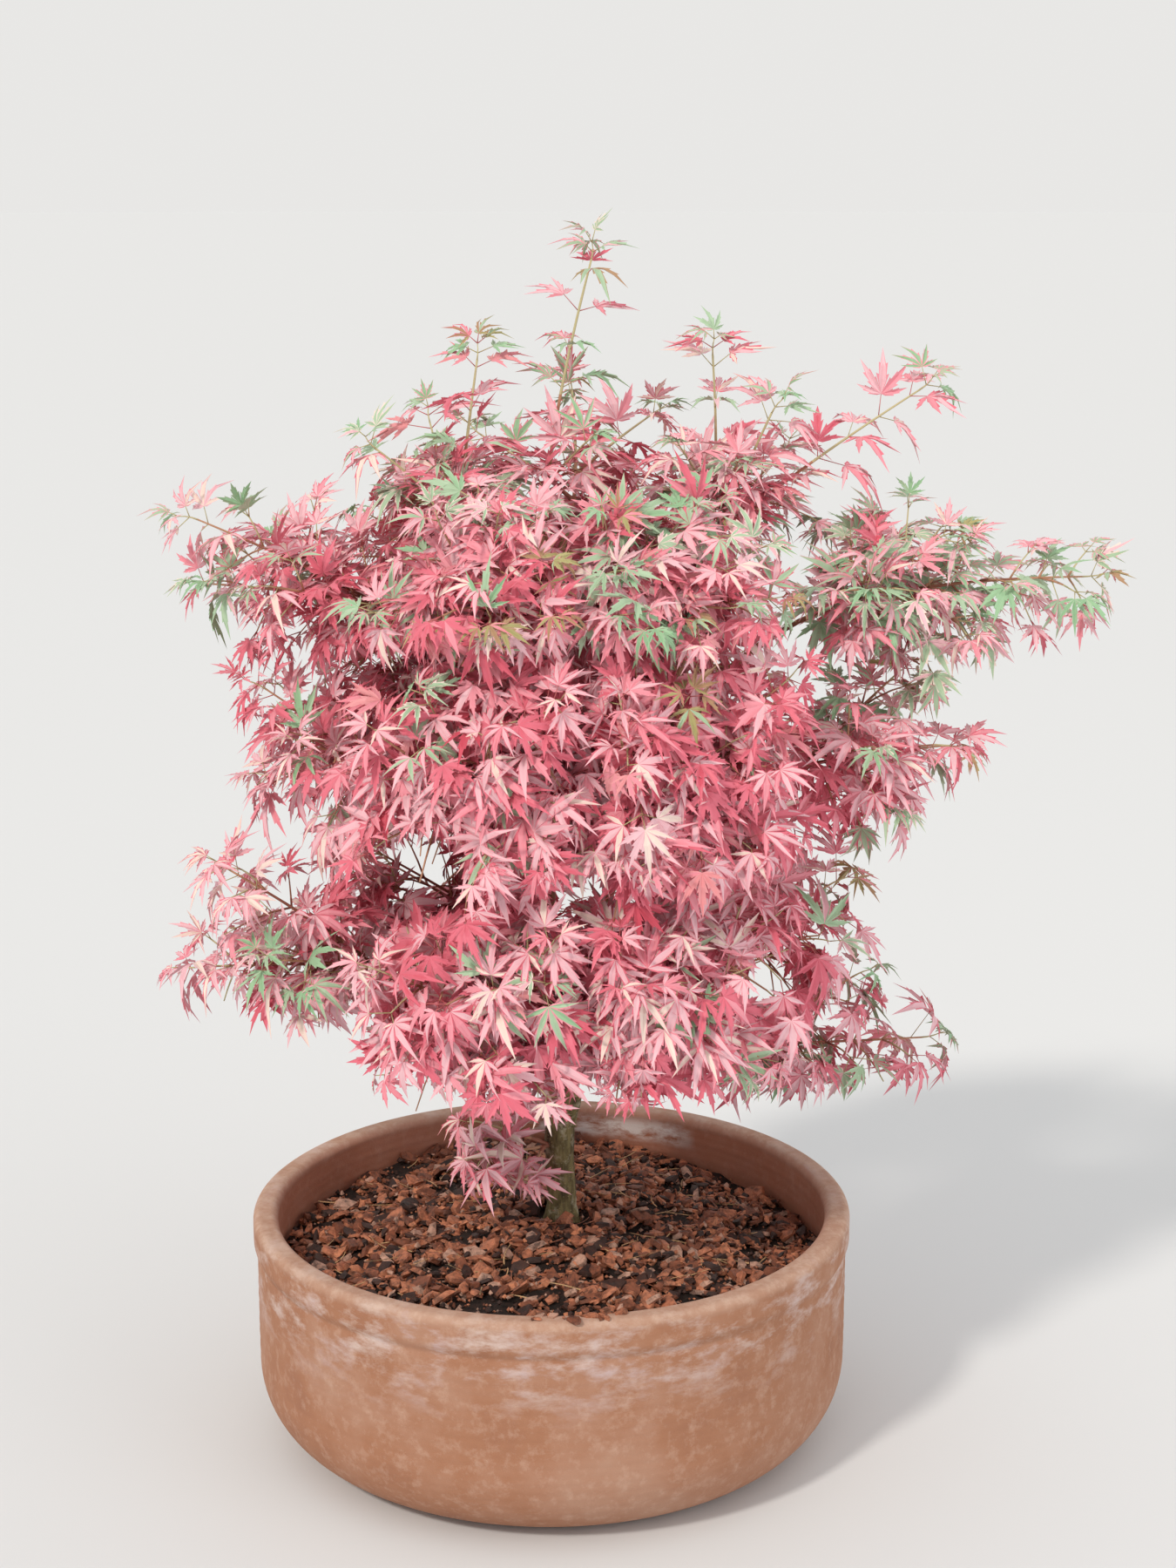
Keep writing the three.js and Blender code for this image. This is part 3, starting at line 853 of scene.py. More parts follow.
class LeafShape:
    """A palmate leaf of unit reach, lying in X and Y with its stalk at the origin: each lobe is
    folded up from its midrib and toothed, with a heart and a margin that take their own colour"""

    def __init__(self, draw, lobes, width, fold, droop, curl, sinus):
        self.points = [(0.0, 0.0, 0.0)]
        self.faces = []
        self.zones = []
        notches = [self.spot(lobes[0][0] - 34, 0.1, 0)]
        for (left, _), (right, _) in zip(lobes, lobes[1:]):
            notches.append(self.spot((left + right) / 2, sinus, sinus * 0.06))
        notches.append(self.spot(lobes[-1][0] + 34, 0.1, 0))
        for number, (angle, length) in enumerate(lobes):
            sides = (notches[number], notches[number + 1])
            wide = width * draw.between(0.88, 1.12)
            self.lobe(draw, number, angle, length, wide, fold, droop, curl, sides)
        self.points = np.array(self.points)
        self.faces = np.array(self.faces)
        self.zones = np.array(self.zones)
        self.lobes = len(lobes)

    def spot(self, angle, distance, height):
        """Adds a point by its angle and distance from the stalk, and gives its number"""
        turn = math.radians(angle)
        self.points.append((distance * math.cos(turn), distance * math.sin(turn), height))
        return len(self.points) - 1

    def lobe(self, draw, number, angle, length, width, fold, droop, curl, notches):
        """Adds one lobe between its two notches, with two teeth on each side"""
        turn = math.radians(angle)
        along_x, along_y = math.cos(turn), math.sin(turn)
        sway = draw.between(-0.1, 0.1)
        dip = droop * draw.between(0.5, 1.5)
        roll = curl * draw.between(0.5, 1.4)

        def at(along, aside):
            distance = along * length
            shift = (aside + sway * along**2) * length
            lift = abs(aside) * length * fold - dip * distance**2
            lift += roll * max(0, along - 0.45) ** 2 * length + draw.between(-0.008, 0.008)
            place = (along_x * distance - along_y * shift, along_y * distance + along_x * shift, lift)
            self.points.append(place)
            return len(self.points) - 1

        ribs = [at(0.34, 0), at(0.66, 0)]
        tip = at(1, 0)
        for hand, notch in ((-1, notches[0]), (1, notches[1])):
            inner = [at(0.32, hand * width * 0.6), at(0.58, hand * width * 0.47)]
            teeth = []
            for along, wide in ((0.37, 1), (0.6, 0.72)):
                teeth.append(at(along + 0.1, hand * width * wide * draw.between(0.94, 1.16)))
                teeth.append(at(along + 0.07, hand * width * wide * 0.62))
            heart = [(0, inner[0], ribs[0]), (ribs[0], inner[0], inner[1])]
            heart += [(ribs[0], inner[1], ribs[1]), (ribs[1], inner[1], tip)]
            margin = [(0, notch, inner[0]), (notch, teeth[0], inner[0]), (inner[0], teeth[0], teeth[1])]
            margin += [(inner[0], teeth[1], inner[1]), (inner[1], teeth[1], teeth[2])]
            margin += [(inner[1], teeth[2], teeth[3]), (inner[1], teeth[3], tip)]
            for zone, faces in ((0, heart), (1, margin)):
                for face in faces:
                    self.faces.append(face if hand < 0 else face[::-1])
                    self.zones.append(number * 2 + zone)


# A leaf's lobes, each by its angle from the middle one and its share of that one's length
GROWN_LOBES = ((-108, 0.36), (-70, 0.7), (-35, 0.92), (0, 1.0), (35, 0.92), (70, 0.7), (108, 0.36))
SMALL_LOBES = ((-76, 0.6), (-38, 0.88), (0, 1.0), (38, 0.88), (76, 0.6))


def leaf_shapes():
    """A few leaves of each age, that all others are copied from"""
    grown = []
    for number in range(8):
        draw = Draw("grown_leaf", number)
        lobes = GROWN_LOBES if number % 3 else SMALL_LOBES
        fold = draw.between(0.15, 0.5)
        droop = draw.between(0.15, 0.5)
        grown.append(LeafShape(draw, lobes, draw.between(0.115, 0.15), fold, droop, 0.0, 0.19))
    young = []
    for number in range(6):
        draw = Draw("young_leaf", number)
        curl = draw.between(-1.6, 1.9)
        fold = draw.between(0.5, 0.9)
        droop = draw.between(0.2, 0.9)
        young.append(LeafShape(draw, SMALL_LOBES, draw.between(0.1, 0.135), fold, droop, curl, 0.15))
    return {"grown": grown, "young": young}


# Leaf colours, by what each looks like: the thin blades of this maple are cream and pink where
# they lack green, so a leaf is a heart of one tone in a margin of another
LEAF_COLOURS = {
    "pale_blush": "#EABBC3",
    "blush": "#EA96A3",
    "rose": "#DF7082",
    "deep_rose": "#D55F72",
    "crimson": "#CB4B5E",
    "salmon": "#E4979B",
    "cream": "#EDD9CE",
    "sage": "#ADC6A6",
    "leaf_green": "#9ABF97",
    "bronze": "#B4906F",
    "olive": "#B0A873",
}
LEAF_SLOTS = {name: slot for slot, name in enumerate(LEAF_COLOURS)}

# Each tint: the colours that its lobes' hearts are dealt from, those that its margin is dealt
# from, and the tints that a leaf of its spray may take in its place
TINTS = {
    "pale": (
        ("pale_blush", "pale_blush", "pale_blush", "cream"),
        ("blush", "blush", "rose"),
        ("blush", "cream"),
    ),
    "blush": (("pale_blush", "blush", "pale_blush"), ("blush", "rose"), ("pale", "rose")),
    "rose": (("blush", "rose", "rose"), ("rose",), ("blush", "blush", "deep")),
    "deep": (("rose", "deep_rose", "rose"), ("deep_rose", "rose"), ("rose", "dark")),
    "dark": (("deep_rose", "crimson"), ("crimson", "deep_rose"), ("deep", "rose")),
    "salmon": (("blush", "salmon"), ("salmon", "rose"), ("blush", "pale")),
    "cream": (("cream", "pale_blush"), ("pale_blush", "blush"), ("pale", "blush")),
    "sage": (
        ("sage", "sage", "sage", "pale_blush"),
        ("blush", "rose", "blush", "cream", "sage"),
        ("green", "pale"),
    ),
    "green": (("leaf_green", "sage", "leaf_green"), ("sage", "leaf_green", "blush"), ("sage", "sage")),
    "bronze": (("bronze", "olive", "blush"), ("rose", "bronze"), ("olive", "deep")),
    "olive": (("olive", "sage", "bronze"), ("bronze", "olive"), ("bronze", "sage")),
}


def spray_tint(draw, spot, share, mass):
    """The tint of one spray: deep in the crown's shaded heart, as painted shade, and paler in its
    outer shell, as painted light; paler too at its top and foot, and greener to the shoots' ends"""
    if "tints" in mass:
        return draw.weighted(mass["tints"])
    height = min(max((spot.z - CROWN_FOOT) / CROWN_HEIGHT, 0), 1)
    out = math.hypot(spot.x - TRUNK["x"], spot.y)
    # inside measures the shaded heart, whose deep and dark tints are painted shade; outer measures the
    # outer shell, whose pale and blush tints are painted light
    inside = min(max((SHADED_HEART["radius"] - out) / SHADED_HEART["fade"], 0), 1)
    inside *= min(max((SHADED_HEART["top"] - spot.z) / SHADED_HEART["top_fade"], 0), 1)
    outer = smoothstep(out, *LIT_SHELL)
    ends = mass["green"] * (0.15 + 1.35 * share**2)
    weights = {
        "pale": (1.5 + 1.2 * abs(1 - 1.6 * height) + 2.2 * outer) * mass.get("pale", 1),
        "blush": 3.2 + outer,
        "rose": 3.4 - 1.4 * outer,
        "deep": (0.4 - 0.35 * outer) * (1 - 0.8 * height) + 1.9 * inside,
        "dark": 0.8 * inside,
        "salmon": 0.6,
        "cream": 0.5 + 0.6 * (1 - height),
        "sage": 1.6 * ends,
        "green": 0.7 * ends,
        "bronze": 0.3 * ends * max(0, share - 0.6),
    }
    return draw.weighted(weights)


def stands_in_opening(spot):
    """Whether a place lies in one of the tunnels that stay open"""
    for start, run, radius in OPENINGS:
        way = spot - Vector(start)
        along = Vector(run).normalized()
        if (way - along * way.dot(along)).length < radius:
            return True
    return False


def mulch_height(radius, bearing):
    """The mulch's surface: level round the trunk, heaped at the front, low at the sides"""
    front = MULCH["front_rise"] * math.cos(math.radians(bearing - MULCH["front_bearing"]))
    saddle = MULCH["saddle"] * math.cos(math.radians(2 * (bearing - MULCH["saddle_bearing"])))
    edge = MULCH["edge"] + front + saddle
    return mix(MULCH["crown"], edge, smoothstep(radius, MULCH["flat"], PAN_INNER))


def mulch_top(radius, bearing):
    """The heap as it was raked: its height with the lumps that the chips lie on"""
    x, y = on_circle(radius, bearing)
    lumps = 4.0 * noise.noise(Vector((x, y, 9)) * 0.03) + 2.6 * noise.noise(Vector((x, y, 2)) * 0.08)
    return mulch_height(radius, bearing) + lumps * smoothstep(radius, 12, 40)


def clears_pan(points):
    """Whether a leaf hangs clear of the mulch and the pan's rim"""
    low = points[points[:, 2].argmin()]
    radius = math.hypot(low[0], low[1])
    if radius > PAN["rim_radius"] + LEAF_CLEARANCE["outside"]:
        return True
    over_wall = radius > PAN_INNER - LEAF_CLEARANCE["wall"]
    floor = PAN["height"] if over_wall else MULCH["crown"]
    return low[2] > floor + LEAF_CLEARANCE["under"]


class Foliage:
    """Grows leaves on their stalks, and side twigs with their sprays"""

    def __init__(self, shapes, settings, twigs, stalks):
        self.shapes = shapes
        self.settings = settings
        self.leaves = Joined()
        self.twigs = twigs
        self.stalks = stalks

    def leaf(self, draw, mass, node, stalk, side, size, age, tint):
        """One leaf on its stalk, left out where it would fill an opening or touch the pan"""
        outward = Vector((node.x - TRUNK["x"], node.y, 0)).normalized()
        hang = mass["hang"]
        # it faces up where its mass lies level and outwards where it hangs, and leans to the light
        facing = Vector((0, 0, 1 - 0.45 * hang)) + outward * (0.2 + 0.8 * hang)
        facing += LIGHT_SIDE * (0.8 * (1 - smoothstep(node.y, 20, 130)))
        facing += side * draw.between(-0.35, 0.35)
        across = facing.cross(stalk)
        if across.length < 0.05:
            across = side.copy()
        across.normalize()
        fall = hang * draw.between(0.35, 1.05) + draw.between(-0.25, 0.25)
        forward = stalk.copy()
        forward.rotate(Quaternion(across, fall))
        normal = forward.cross(across).normalized()
        size *= mass["leaf"] ** 0.5 * mass.get("grow", 1) * mix(1, 0.84, smoothstep(node.z, 420, 640))
        reach = self.settings.leaf_reach / MM * size * draw.between(0.8, 1.14)
        stem = reach * draw.between(0.3, 0.55)
        join = node + stalk * stem
        if stands_in_opening(join + forward * reach * 0.5):
            return
        shape = draw.pick(self.shapes[age])
        points = shape.points @ (np.array([forward, across, normal]) * reach) + np.array(join)
        if points[:, 2].min() < mass.get("floor", 0) or not clears_pan(points):
            return
        # three leaves in ten take another tint than their spray's
        if draw.next() < 0.3:
            tint = draw.pick(TINTS[tint][2])
        hearts, margins, _ = TINTS[tint]
        margin = LEAF_SLOTS[draw.pick(margins)]
        table = []
        for _ in range(shape.lobes):
            table += [LEAF_SLOTS[draw.pick(hearts)], margin]
        self.leaves.add(points, shape.faces, np.array(table)[shape.zones])
        thin = 0.42 if age == "young" else 0.5
        course = Course([node, join])
        pale = 1 if tint in ("green", "sage", "cream", "pale") else 0
        add_tube(self.stalks, course, lambda t: thin * (1 - 0.3 * t), *TUBES["stalk"], (pale,))

    def pair(self, draw, mass, course, share, turn, size, age, tint):
        """Two opposite leaves at one node"""
        node = course.at(share)
        along = course.tangent(share)
        for half in (0, 180):
            side = self.side(along, turn + half + draw.between(-22, 22))
            stalk = (side * 0.85 + along * draw.between(0.35, 0.8)).normalized()
            self.leaf(draw, mass, node, stalk, side, size * draw.between(0.88, 1.08), age, tint)

    def side(self, along, turn):
        """A direction square to a twig, turned about it"""
        level = Vector((1, 0, 0)) if abs(along.z) > 0.9 else Vector((0, 0, 1))
        side = along.cross(level).normalized()
        side.rotate(Quaternion(along, math.radians(turn)))
        return side

    def spray(self, draw, mass, node, along, side, length, share, tint):
        """A side twig with its pairs of leaves and the leaves at its end"""
        direction = (side * 0.9 + along * draw.between(0.4, 0.9)).normalized()
        end = node + direction * length
        end.z -= length * mass["hang"] * draw.between(0.05, 0.35)
        bend = node + direction * length * 0.5 + Vector((0, 0, length * 0.08))
        course = bent(node, bend, end, 6)
        slots = (1, 2) if share < YOUNG_PAST["skin"] else (2, 3)
        add_tube(self.twigs, course, tapered(0.95, 0.55), *TUBES["twig"], slots)
        pairs = max(1, round(length / self.settings.pair_gap * MM))
        size = mix(1.0, 0.8, share)
        for number in range(pairs):
            place = mix(0.98, 0.34, number / max(1, pairs - 1))
            age = "young" if number == 0 and share > YOUNG_PAST["last_pair"] else "grown"
            pair_size = size * mix(0.9, 1, number / pairs)
            self.pair(draw, mass, course, place, number * 90 + 12, pair_size, age, tint)
        tip = course.tangent(1)
        age = "young" if share > YOUNG_PAST["end"] else "grown"
        self.leaf(draw, mass, course.at(1), tip, self.side(tip, 0), size * 0.8, age, tint)

    def shoot(self, mass, number, index, course, thick):
        """One shoot: side twigs to its airy share, then bare pairs, then the tuft at its end"""
        young = mass["airy"] < YOUNG_AIRY
        slots = (1, 2, 3, 3) if young else (0, 1, 1, 2)
        thinning = 0.35 if young else 0.6
        wave = Draw("twig_relief", number, index).between(0, 90)

        def relief(spot, share, turn):
            return 0.12 * noise.noise(Vector((spot.x, spot.y, spot.z + wave)) * 0.25)

        def radius_at(share):
            return mix(thick, TWIG["tip"], share**thinning)

        add_tube(self.twigs, course, radius_at, *TUBES["shoot"], slots, relief)
        gap = self.settings.node_gap / MM * mass.get("space", 1)
        nodes = max(3, round(course.length / gap))
        for rank in range(nodes):
            share = mix(mass.get("bare", 0.1), 0.95, rank / (nodes - 1))
            draw = Draw("node", number, index, rank)
            node, along = course.at(share), course.tangent(share)
            # each pair stands a quarter turn from the last
            turn = rank * 90 + draw.between(-20, 20)
            if share > mass["airy"]:
                tint = spray_tint(draw, node, share, mass)
                age = "young" if share > YOUNG_PAST["pair"] or young else "grown"
                size = mix(1.15, 0.95, share) * draw.between(0.9, 1.1)
                self.pair(draw, mass, course, share, turn, size, age, tint)
                continue
            for half in (0, 180):
                side = self.side(along, turn + half)
                tint = spray_tint(draw, node + side * 30, share, mass)
                reach = self.settings.spray_reach / MM * mass["leaf"] * draw.between(0.62, 1.1)
                self.spray(draw, mass, node, along, side, reach * mix(1, 0.75, share), share, tint)
        self.tuft(mass, number, index, course)

    def tuft(self, mass, number, index, course):
        """The small unfolding leaves at a shoot's very end"""
        draw = Draw("tuft", number, index)
        along = course.tangent(1)
        end = course.at(1)
        tip = end + along * 14 * mass["leaf"]
        tip += self.side(along, draw.between(0, 360)) * 3
        growing = bent(end - along, end + along * 7, tip, 6)
        tint = spray_tint(draw, tip, 1.0, mass)
        add_tube(self.twigs, growing, tapered(0.75, 0.4), *TUBES["twig"], (3,))
        self.pair(draw, mass, growing, 0.45, 90, 0.8, "young", tint)
        if mass["green"] > 0.6:
            tint = draw.pick(("bronze", "sage", "green"))
        self.pair(draw, mass, growing, 0.97, 0, 0.6, "young", tint)
        self.leaf(draw, mass, growing.at(1), along, self.side(along, 40), 0.55, "young", tint)


# Materials of the plant


def plant_skin(name, code, roughness, grain_mm, detail, depth_mm, strength):
    """A plain colour over a fine raised grain, which is how leaves, stalks and twigs are made"""
    material, tree, shader = new_material(name, linear(code), roughness)
    place = add_node(tree, "ShaderNodeTexCoord").outputs["Object"]
    texture = {"Vector": place, "Scale": per(grain_mm), "Detail": detail}
    grain = add_node(tree, "ShaderNodeTexNoise", texture).outputs["Fac"]
    bump(tree, shader, grain, depth_mm, strength)
    return material, shader


def leaf_materials():
    """Living leaf blade, thin and slightly crinkled: a satin skin over pale flesh. The colour is
    one tone for each material, since what changes from leaf to leaf is dealt out by spray."""
    materials = []
    for name, code in LEAF_COLOURS.items():
        # the net of veins is drawn at 2 mm, coarser than life, so that it shows
        material, shader = plant_skin("leaf_blade_" + name, code, 0.5, 2, 2.0, 0.25, 0.5)
        shader.inputs["Specular IOR Level"].default_value = 0.36
        shader.inputs["Sheen Weight"].default_value = 0.14
        shader.inputs["Sheen Roughness"].default_value = 0.5
        materials.append(material)
    return materials


# The skins of twigs and shoots from the oldest to the youngest, each with its roughness
WOOD_COLOURS = {
    "twig_bark_brown": ("#84543F", 0.7),
    "twig_bark_red": ("#9C6450", 0.62),
    "shoot_skin_tan": ("#B98A6C", 0.55),
    "shoot_skin_pale_green": ("#C3B88C", 0.5),
}


def twig_materials():
    """Bark of young wood: smooth thin skin that reddens and browns with age, with fine pores"""
    materials = []
    for name, (code, roughness) in WOOD_COLOURS.items():
        material, _ = plant_skin(name, code, roughness, 1.2, 3.0, 0.2, 0.6)
        materials.append(material)
    return materials


STALK_COLOURS = {"leaf_stalk_pink": "#C96C6E", "leaf_stalk_green": "#BFB583"}


def stalk_materials():
    """Leaf stalks: smooth, juicy and a little glossy"""
    materials = []
    for name, code in STALK_COLOURS.items():
        material, _ = plant_skin(name, code, 0.4, 1, 2.0, 0.1, 0.4)
        materials.append(material)
    return materials


def trunk_bark():
    """Bark of an old-wood maple trunk: smooth olive skin with shallow lengthwise cracks, pale
    corky pores and dusty grey patches, so it is matt with hardly any gloss"""
    material, tree, shader = new_material("maple_trunk_bark", linear("#6A5D3E"), 0.78)
    place = add_node(tree, "ShaderNodeTexCoord").outputs["Object"]
    drawn = add_node(tree, "ShaderNodeMapping", {"Vector": place, "Scale": (1.0, 1.0, 0.28)})
    stripes = add_node(
        tree,
        "ShaderNodeTexNoise",
        {"Vector": drawn.outputs[0], "Scale": per(5), "Detail": 5.0, "Roughness": 0.62},
    ).outputs["Fac"]
    skin = ramp(
        tree,
        stripes,
        [
            (0.28, linear("#3C3222")),
            (0.43, linear("#5E5233")),
            (0.55, linear("#7C7048")),
            (0.68, linear("#93825B")),
        ],
    )
    # dusty grey-white patches of 13 mm
    dust = add_node(
        tree, "ShaderNodeTexNoise", {"Vector": place, "Scale": per(13), "Detail": 4.0, "Roughness": 0.7}
    ).outputs["Fac"]
    dusty = spread(tree, dust, 0.56, 0.68, 0.0, 0.75)
    skin = mixed(tree, dusty, skin, linear("#B7AF97"))
    # corky pores, wider than tall, 3.4 mm apart and larger than life
    flat = add_node(tree, "ShaderNodeMapping", {"Vector": place, "Scale": (1.0, 1.0, 1.9)})
    pores = add_node(
        tree, "ShaderNodeTexVoronoi", {"Vector": flat.outputs[0], "Scale": per(3.4), "Randomness": 1.0}
    ).outputs["Distance"]
    specks = spread(tree, pores, 0.2, 0.1, 0.0, 0.8)
    skin = mixed(tree, specks, skin, linear("#A99A70"))
    tree.links.new(skin, shader.inputs["Base Color"])
    first = bump(tree, shader, stripes, 0.9, 0.9)
    bump(tree, shader, specks, 0.35, 0.7, under=first)
    return material


def stem_bark():
    """Bark of the younger stems and boughs: red-brown to green-brown skin, lightly striped"""
    material, tree, shader = new_material("maple_stem_bark", linear("#6E4A37"), 0.68)
    place = add_node(tree, "ShaderNodeTexCoord").outputs["Object"]
    blotch = add_node(
        tree, "ShaderNodeTexNoise", {"Vector": place, "Scale": per(34), "Detail": 3.0}
    ).outputs["Fac"]
    drawn = add_node(tree, "ShaderNodeMapping", {"Vector": place, "Scale": (1.0, 1.0, 0.3)})
    stripes = add_node(
        tree, "ShaderNodeTexNoise", {"Vector": drawn.outputs[0], "Scale": per(3), "Detail": 4.0}
    ).outputs["Fac"]
    base = ramp(
        tree,
        blotch,
        [(0.35, linear("#85573F")), (0.5, linear("#9C684D")), (0.64, linear("#94855A"))],
    )
    light = spread(tree, stripes, 0.5, 0.72, 0.0, 0.55)
    skin = mixed(tree, light, base, linear("#BBA27A"))
    tree.links.new(skin, shader.inputs["Base Color"])
    bump(tree, shader, stripes, 0.4, 0.8)
    return material


def cut_wood():
    """Healed saw cut: dry pale end grain, cracked and greyed at its rim"""
    material, tree, shader = new_material("healed_cut_wood", linear("#BCA37C"), 0.8)
    place = add_node(tree, "ShaderNodeTexCoord").outputs["Object"]
    grain = add_node(
        tree, "ShaderNodeTexNoise", {"Vector": place, "Scale": per(1.6), "Detail": 4.0}
    ).outputs["Fac"]
    wood = ramp(
        tree,
        grain,
        [(0.3, linear("#7C6647")), (0.5, linear("#B79D75")), (0.7, linear("#D9C6A2"))],
    )
    tree.links.new(wood, shader.inputs["Base Color"])
    bump(tree, shader, grain, 0.5, 0.8)
    return material


# Materials of the pan and the mulch


def terracotta(height):
    """Unglazed terracotta, machine pressed and fired: a dry matt skin with fine grit, faint
    turning lines, cloudy firing tones, and white to lilac lime bloom where water has dried"""
    material, tree, shader = new_material("fired_terracotta", linear("#CB8961"), 0.86)
    shader.inputs["Specular IOR Level"].default_value = 0.3
    place = add_node(tree, "ShaderNodeTexCoord").outputs["Object"]
    axes = add_node(tree, "ShaderNodeSeparateXYZ", {"Vector": place})
    level = axes.outputs["Z"]
    cloud = add_node(
        tree, "ShaderNodeTexNoise", {"Vector": place, "Scale": per(70), "Detail": 5.0, "Roughness": 0.6}
    ).outputs["Fac"]
    clay = ramp(
        tree,
        cloud,
        [
            (0.3, linear("#9C6C54")),
            (0.45, linear("#A57459")),
            (0.57, linear("#AC7F67")),
            (0.72, linear("#B28A74")),
        ],
    )
    # lime bloom: thick under the rim band and on the upper wall, in drifts drawn out sideways
    drift = add_node(tree, "ShaderNodeMapping", {"Vector": place, "Scale": (1.0, 1.0, 2.4)})
    bloom = add_node(
        tree,
        "ShaderNodeTexNoise",
        {"Vector": drift.outputs[0], "Scale": per(38), "Detail": 7.0, "Roughness": 0.68},
    ).outputs["Fac"]
    band = times(
        tree,
        spread(tree, level, (height - 80) * MM, (height - 30) * MM),
        spread(tree, level, (height + 4) * MM, (height - 26) * MM, 0.7, 1.0),
    )
    patches = spread(tree, bloom, 0.49, 0.66)
    limed = times(tree, patches, band)
    # the inside of the pan is told by its distance from the axis
    flat = add_node(tree, "ShaderNodeCombineXYZ", {"X": axes.outputs["X"], "Y": axes.outputs["Y"]})
    distance = add_node(
        tree, "ShaderNodeVectorMath", {0: flat.outputs[0]}, operation="LENGTH"
    ).outputs["Value"]
    inner = spread(tree, distance, (PAN_INNER + 3.5) * MM, (PAN_INNER + 1.5) * MM)
    limed = times(tree, limed, spread(tree, inner, 0.0, 1.0, 1.0, 0.15))
    tone = ramp(tree, cloud, [(0.4, linear("#D8C6BE")), (0.6, linear("#C8B4B6"))])
    skin = mixed(tree, times(tree, limed, 0.8), clay, tone)
    # a thin veil of lime lies everywhere
    fine = add_node(
        tree, "ShaderNodeTexNoise", {"Vector": place, "Scale": per(9), "Detail": 6.0, "Roughness": 0.7}
    ).outputs["Fac"]
    veil = spread(tree, fine, 0.5, 0.75, 0.0, 0.4)
    skin = mixed(tree, veil, skin, linear("#D3B5A3"))
    # the inner wall takes up water from the soil, so it is redder
    damp = times(tree, inner, spread(tree, level, (height - 80) * MM, (height - 50) * MM, 0.0, 0.5))
    skin = mixed(tree, damp, skin, linear("#B4705A"))
    # a line of salt runs along parts of the inner wall above the mulch
    salt = times(
        tree,
        spread(tree, level, (height - 26) * MM, (height - 19) * MM),
        spread(tree, level, (height - 4) * MM, (height - 12) * MM),
    )
    region = add_node(
        tree, "ShaderNodeTexNoise", {"Vector": place, "Scale": per(170), "Detail": 1.0}
    ).outputs["Fac"]
    salt = times(tree, times(tree, salt, inner), spread(tree, region, 0.5, 0.58))
    salt = times(tree, salt, spread(tree, bloom, 0.42, 0.56, 0.0, 0.95))
    skin = mixed(tree, salt, skin, linear("#E8E0DB"))
    # the crest of the rim is paler: partly rubbed, partly a painted highlight where the light falls on
    # its top
    crest_wear_and_highlight = times(
        tree,
        spread(tree, level, (height - 8) * MM, (height - 1) * MM),
        spread(tree, fine, 0.36, 0.64, 0.3, 0.62),
    )
    skin = mixed(tree, crest_wear_and_highlight, skin, linear("#CEB3A1"))
    tree.links.new(skin, shader.inputs["Base Color"])
    rough = spread(tree, limed, 0.0, 1.0, 0.82, 0.96)
    tree.links.new(rough, shader.inputs["Roughness"])
    turned_relief(tree, shader, place, limed)
    return material


def turned_relief(tree, shader, place, limed):
    """The relief of turned clay: turning lines 6 mm apart, since a wave texture draws three bands
    to a unit, grit of 0.9 mm, and the lime's thin crust"""
    lines = add_node(
        tree,
        "ShaderNodeTexWave",
        {"Vector": place, "Scale": per(20), "Distortion": 1.2, "Detail": 2.0},
        wave_type="BANDS",
        bands_direction="Z",
    ).outputs["Fac"]
    grit = add_node(
        tree, "ShaderNodeTexNoise", {"Vector": place, "Scale": per(0.9), "Detail": 3.0}
    ).outputs["Fac"]
    first = bump(tree, shader, lines, 0.25, 0.35)
    second = bump(tree, shader, grit, 0.3, 0.5, under=first)
    bump(tree, shader, limed, 0.3, 0.5, under=second)


CHIP_COLOURS = {
    "bark_chip_red": "#A6674A",
    "bark_chip_brown": "#78442D",
    "bark_chip_dark": "#351B11",
    "bark_chip_grey": "#AF8875",
    "bark_chip_orange": "#B87553",
    "bark_fibre_straw": "#B8946A",
}


def chip_materials():
    """Composted conifer bark, shredded: corky flakes, still moist enough to shine a little in
    the light, red-brown outside and tan where torn. Damp mottles them in spots of 7 mm, and their
    grain is of 3 mm."""
    materials = []
    for name, code in CHIP_COLOURS.items():
        colour = linear(code)
        material, tree, shader = new_material(name, colour, 0.62)
        place = add_node(tree, "ShaderNodeTexCoord").outputs["Object"]
        grain = add_node(
            tree,
            "ShaderNodeTexNoise",
            {"Vector": place, "Scale": per(3), "Detail": 5.0, "Roughness": 0.7},
        ).outputs["Fac"]
        damp = add_node(
            tree,
            "ShaderNodeTexNoise",
            {"Vector": place, "Scale": per(7), "Detail": 6.0, "Roughness": 0.75},
        ).outputs["Fac"]
        skin = ramp(
            tree, damp, [(0.38, toned(colour, 0.34)), (0.5, colour), (0.66, toned(colour, 1.55))]
        )
        tree.links.new(skin, shader.inputs["Base Color"])
        bump(tree, shader, grain, 0.9, 1.0)
        materials.append(material)
    return materials


def humus_and_gap_shade():
    """Fine dark compost between the chips: moist crumbs of 4 mm, matt all over. Its near-black stands
    in part for painted shade in the gaps between the chips.
    """
    material, tree, shader = new_material("dark_compost_and_gap_shade", linear("#20120C"), 0.9)
    place = add_node(tree, "ShaderNodeTexCoord").outputs["Object"]
    crumbs = add_node(
        tree, "ShaderNodeTexNoise", {"Vector": place, "Scale": per(4), "Detail": 6.0, "Roughness": 0.75}
    ).outputs["Fac"]
    soil = ramp(
        tree,
        crumbs,
        [(0.35, linear("#120A07")), (0.55, linear("#29180F")), (0.75, linear("#4A2C1E"))],
    )
    tree.links.new(soil, shader.inputs["Base Color"])
    bump(tree, shader, crumbs, 2.0, 1.0)
    return material


# The pan


def arc(centre, radius, start, end, steps):
    """Points on an arc of the pan's profile"""
    angles = [math.radians(mix(start, end, i / steps)) for i in range(steps + 1)]
    return [(centre[0] + radius * math.cos(a), centre[1] + radius * math.sin(a)) for a in angles]


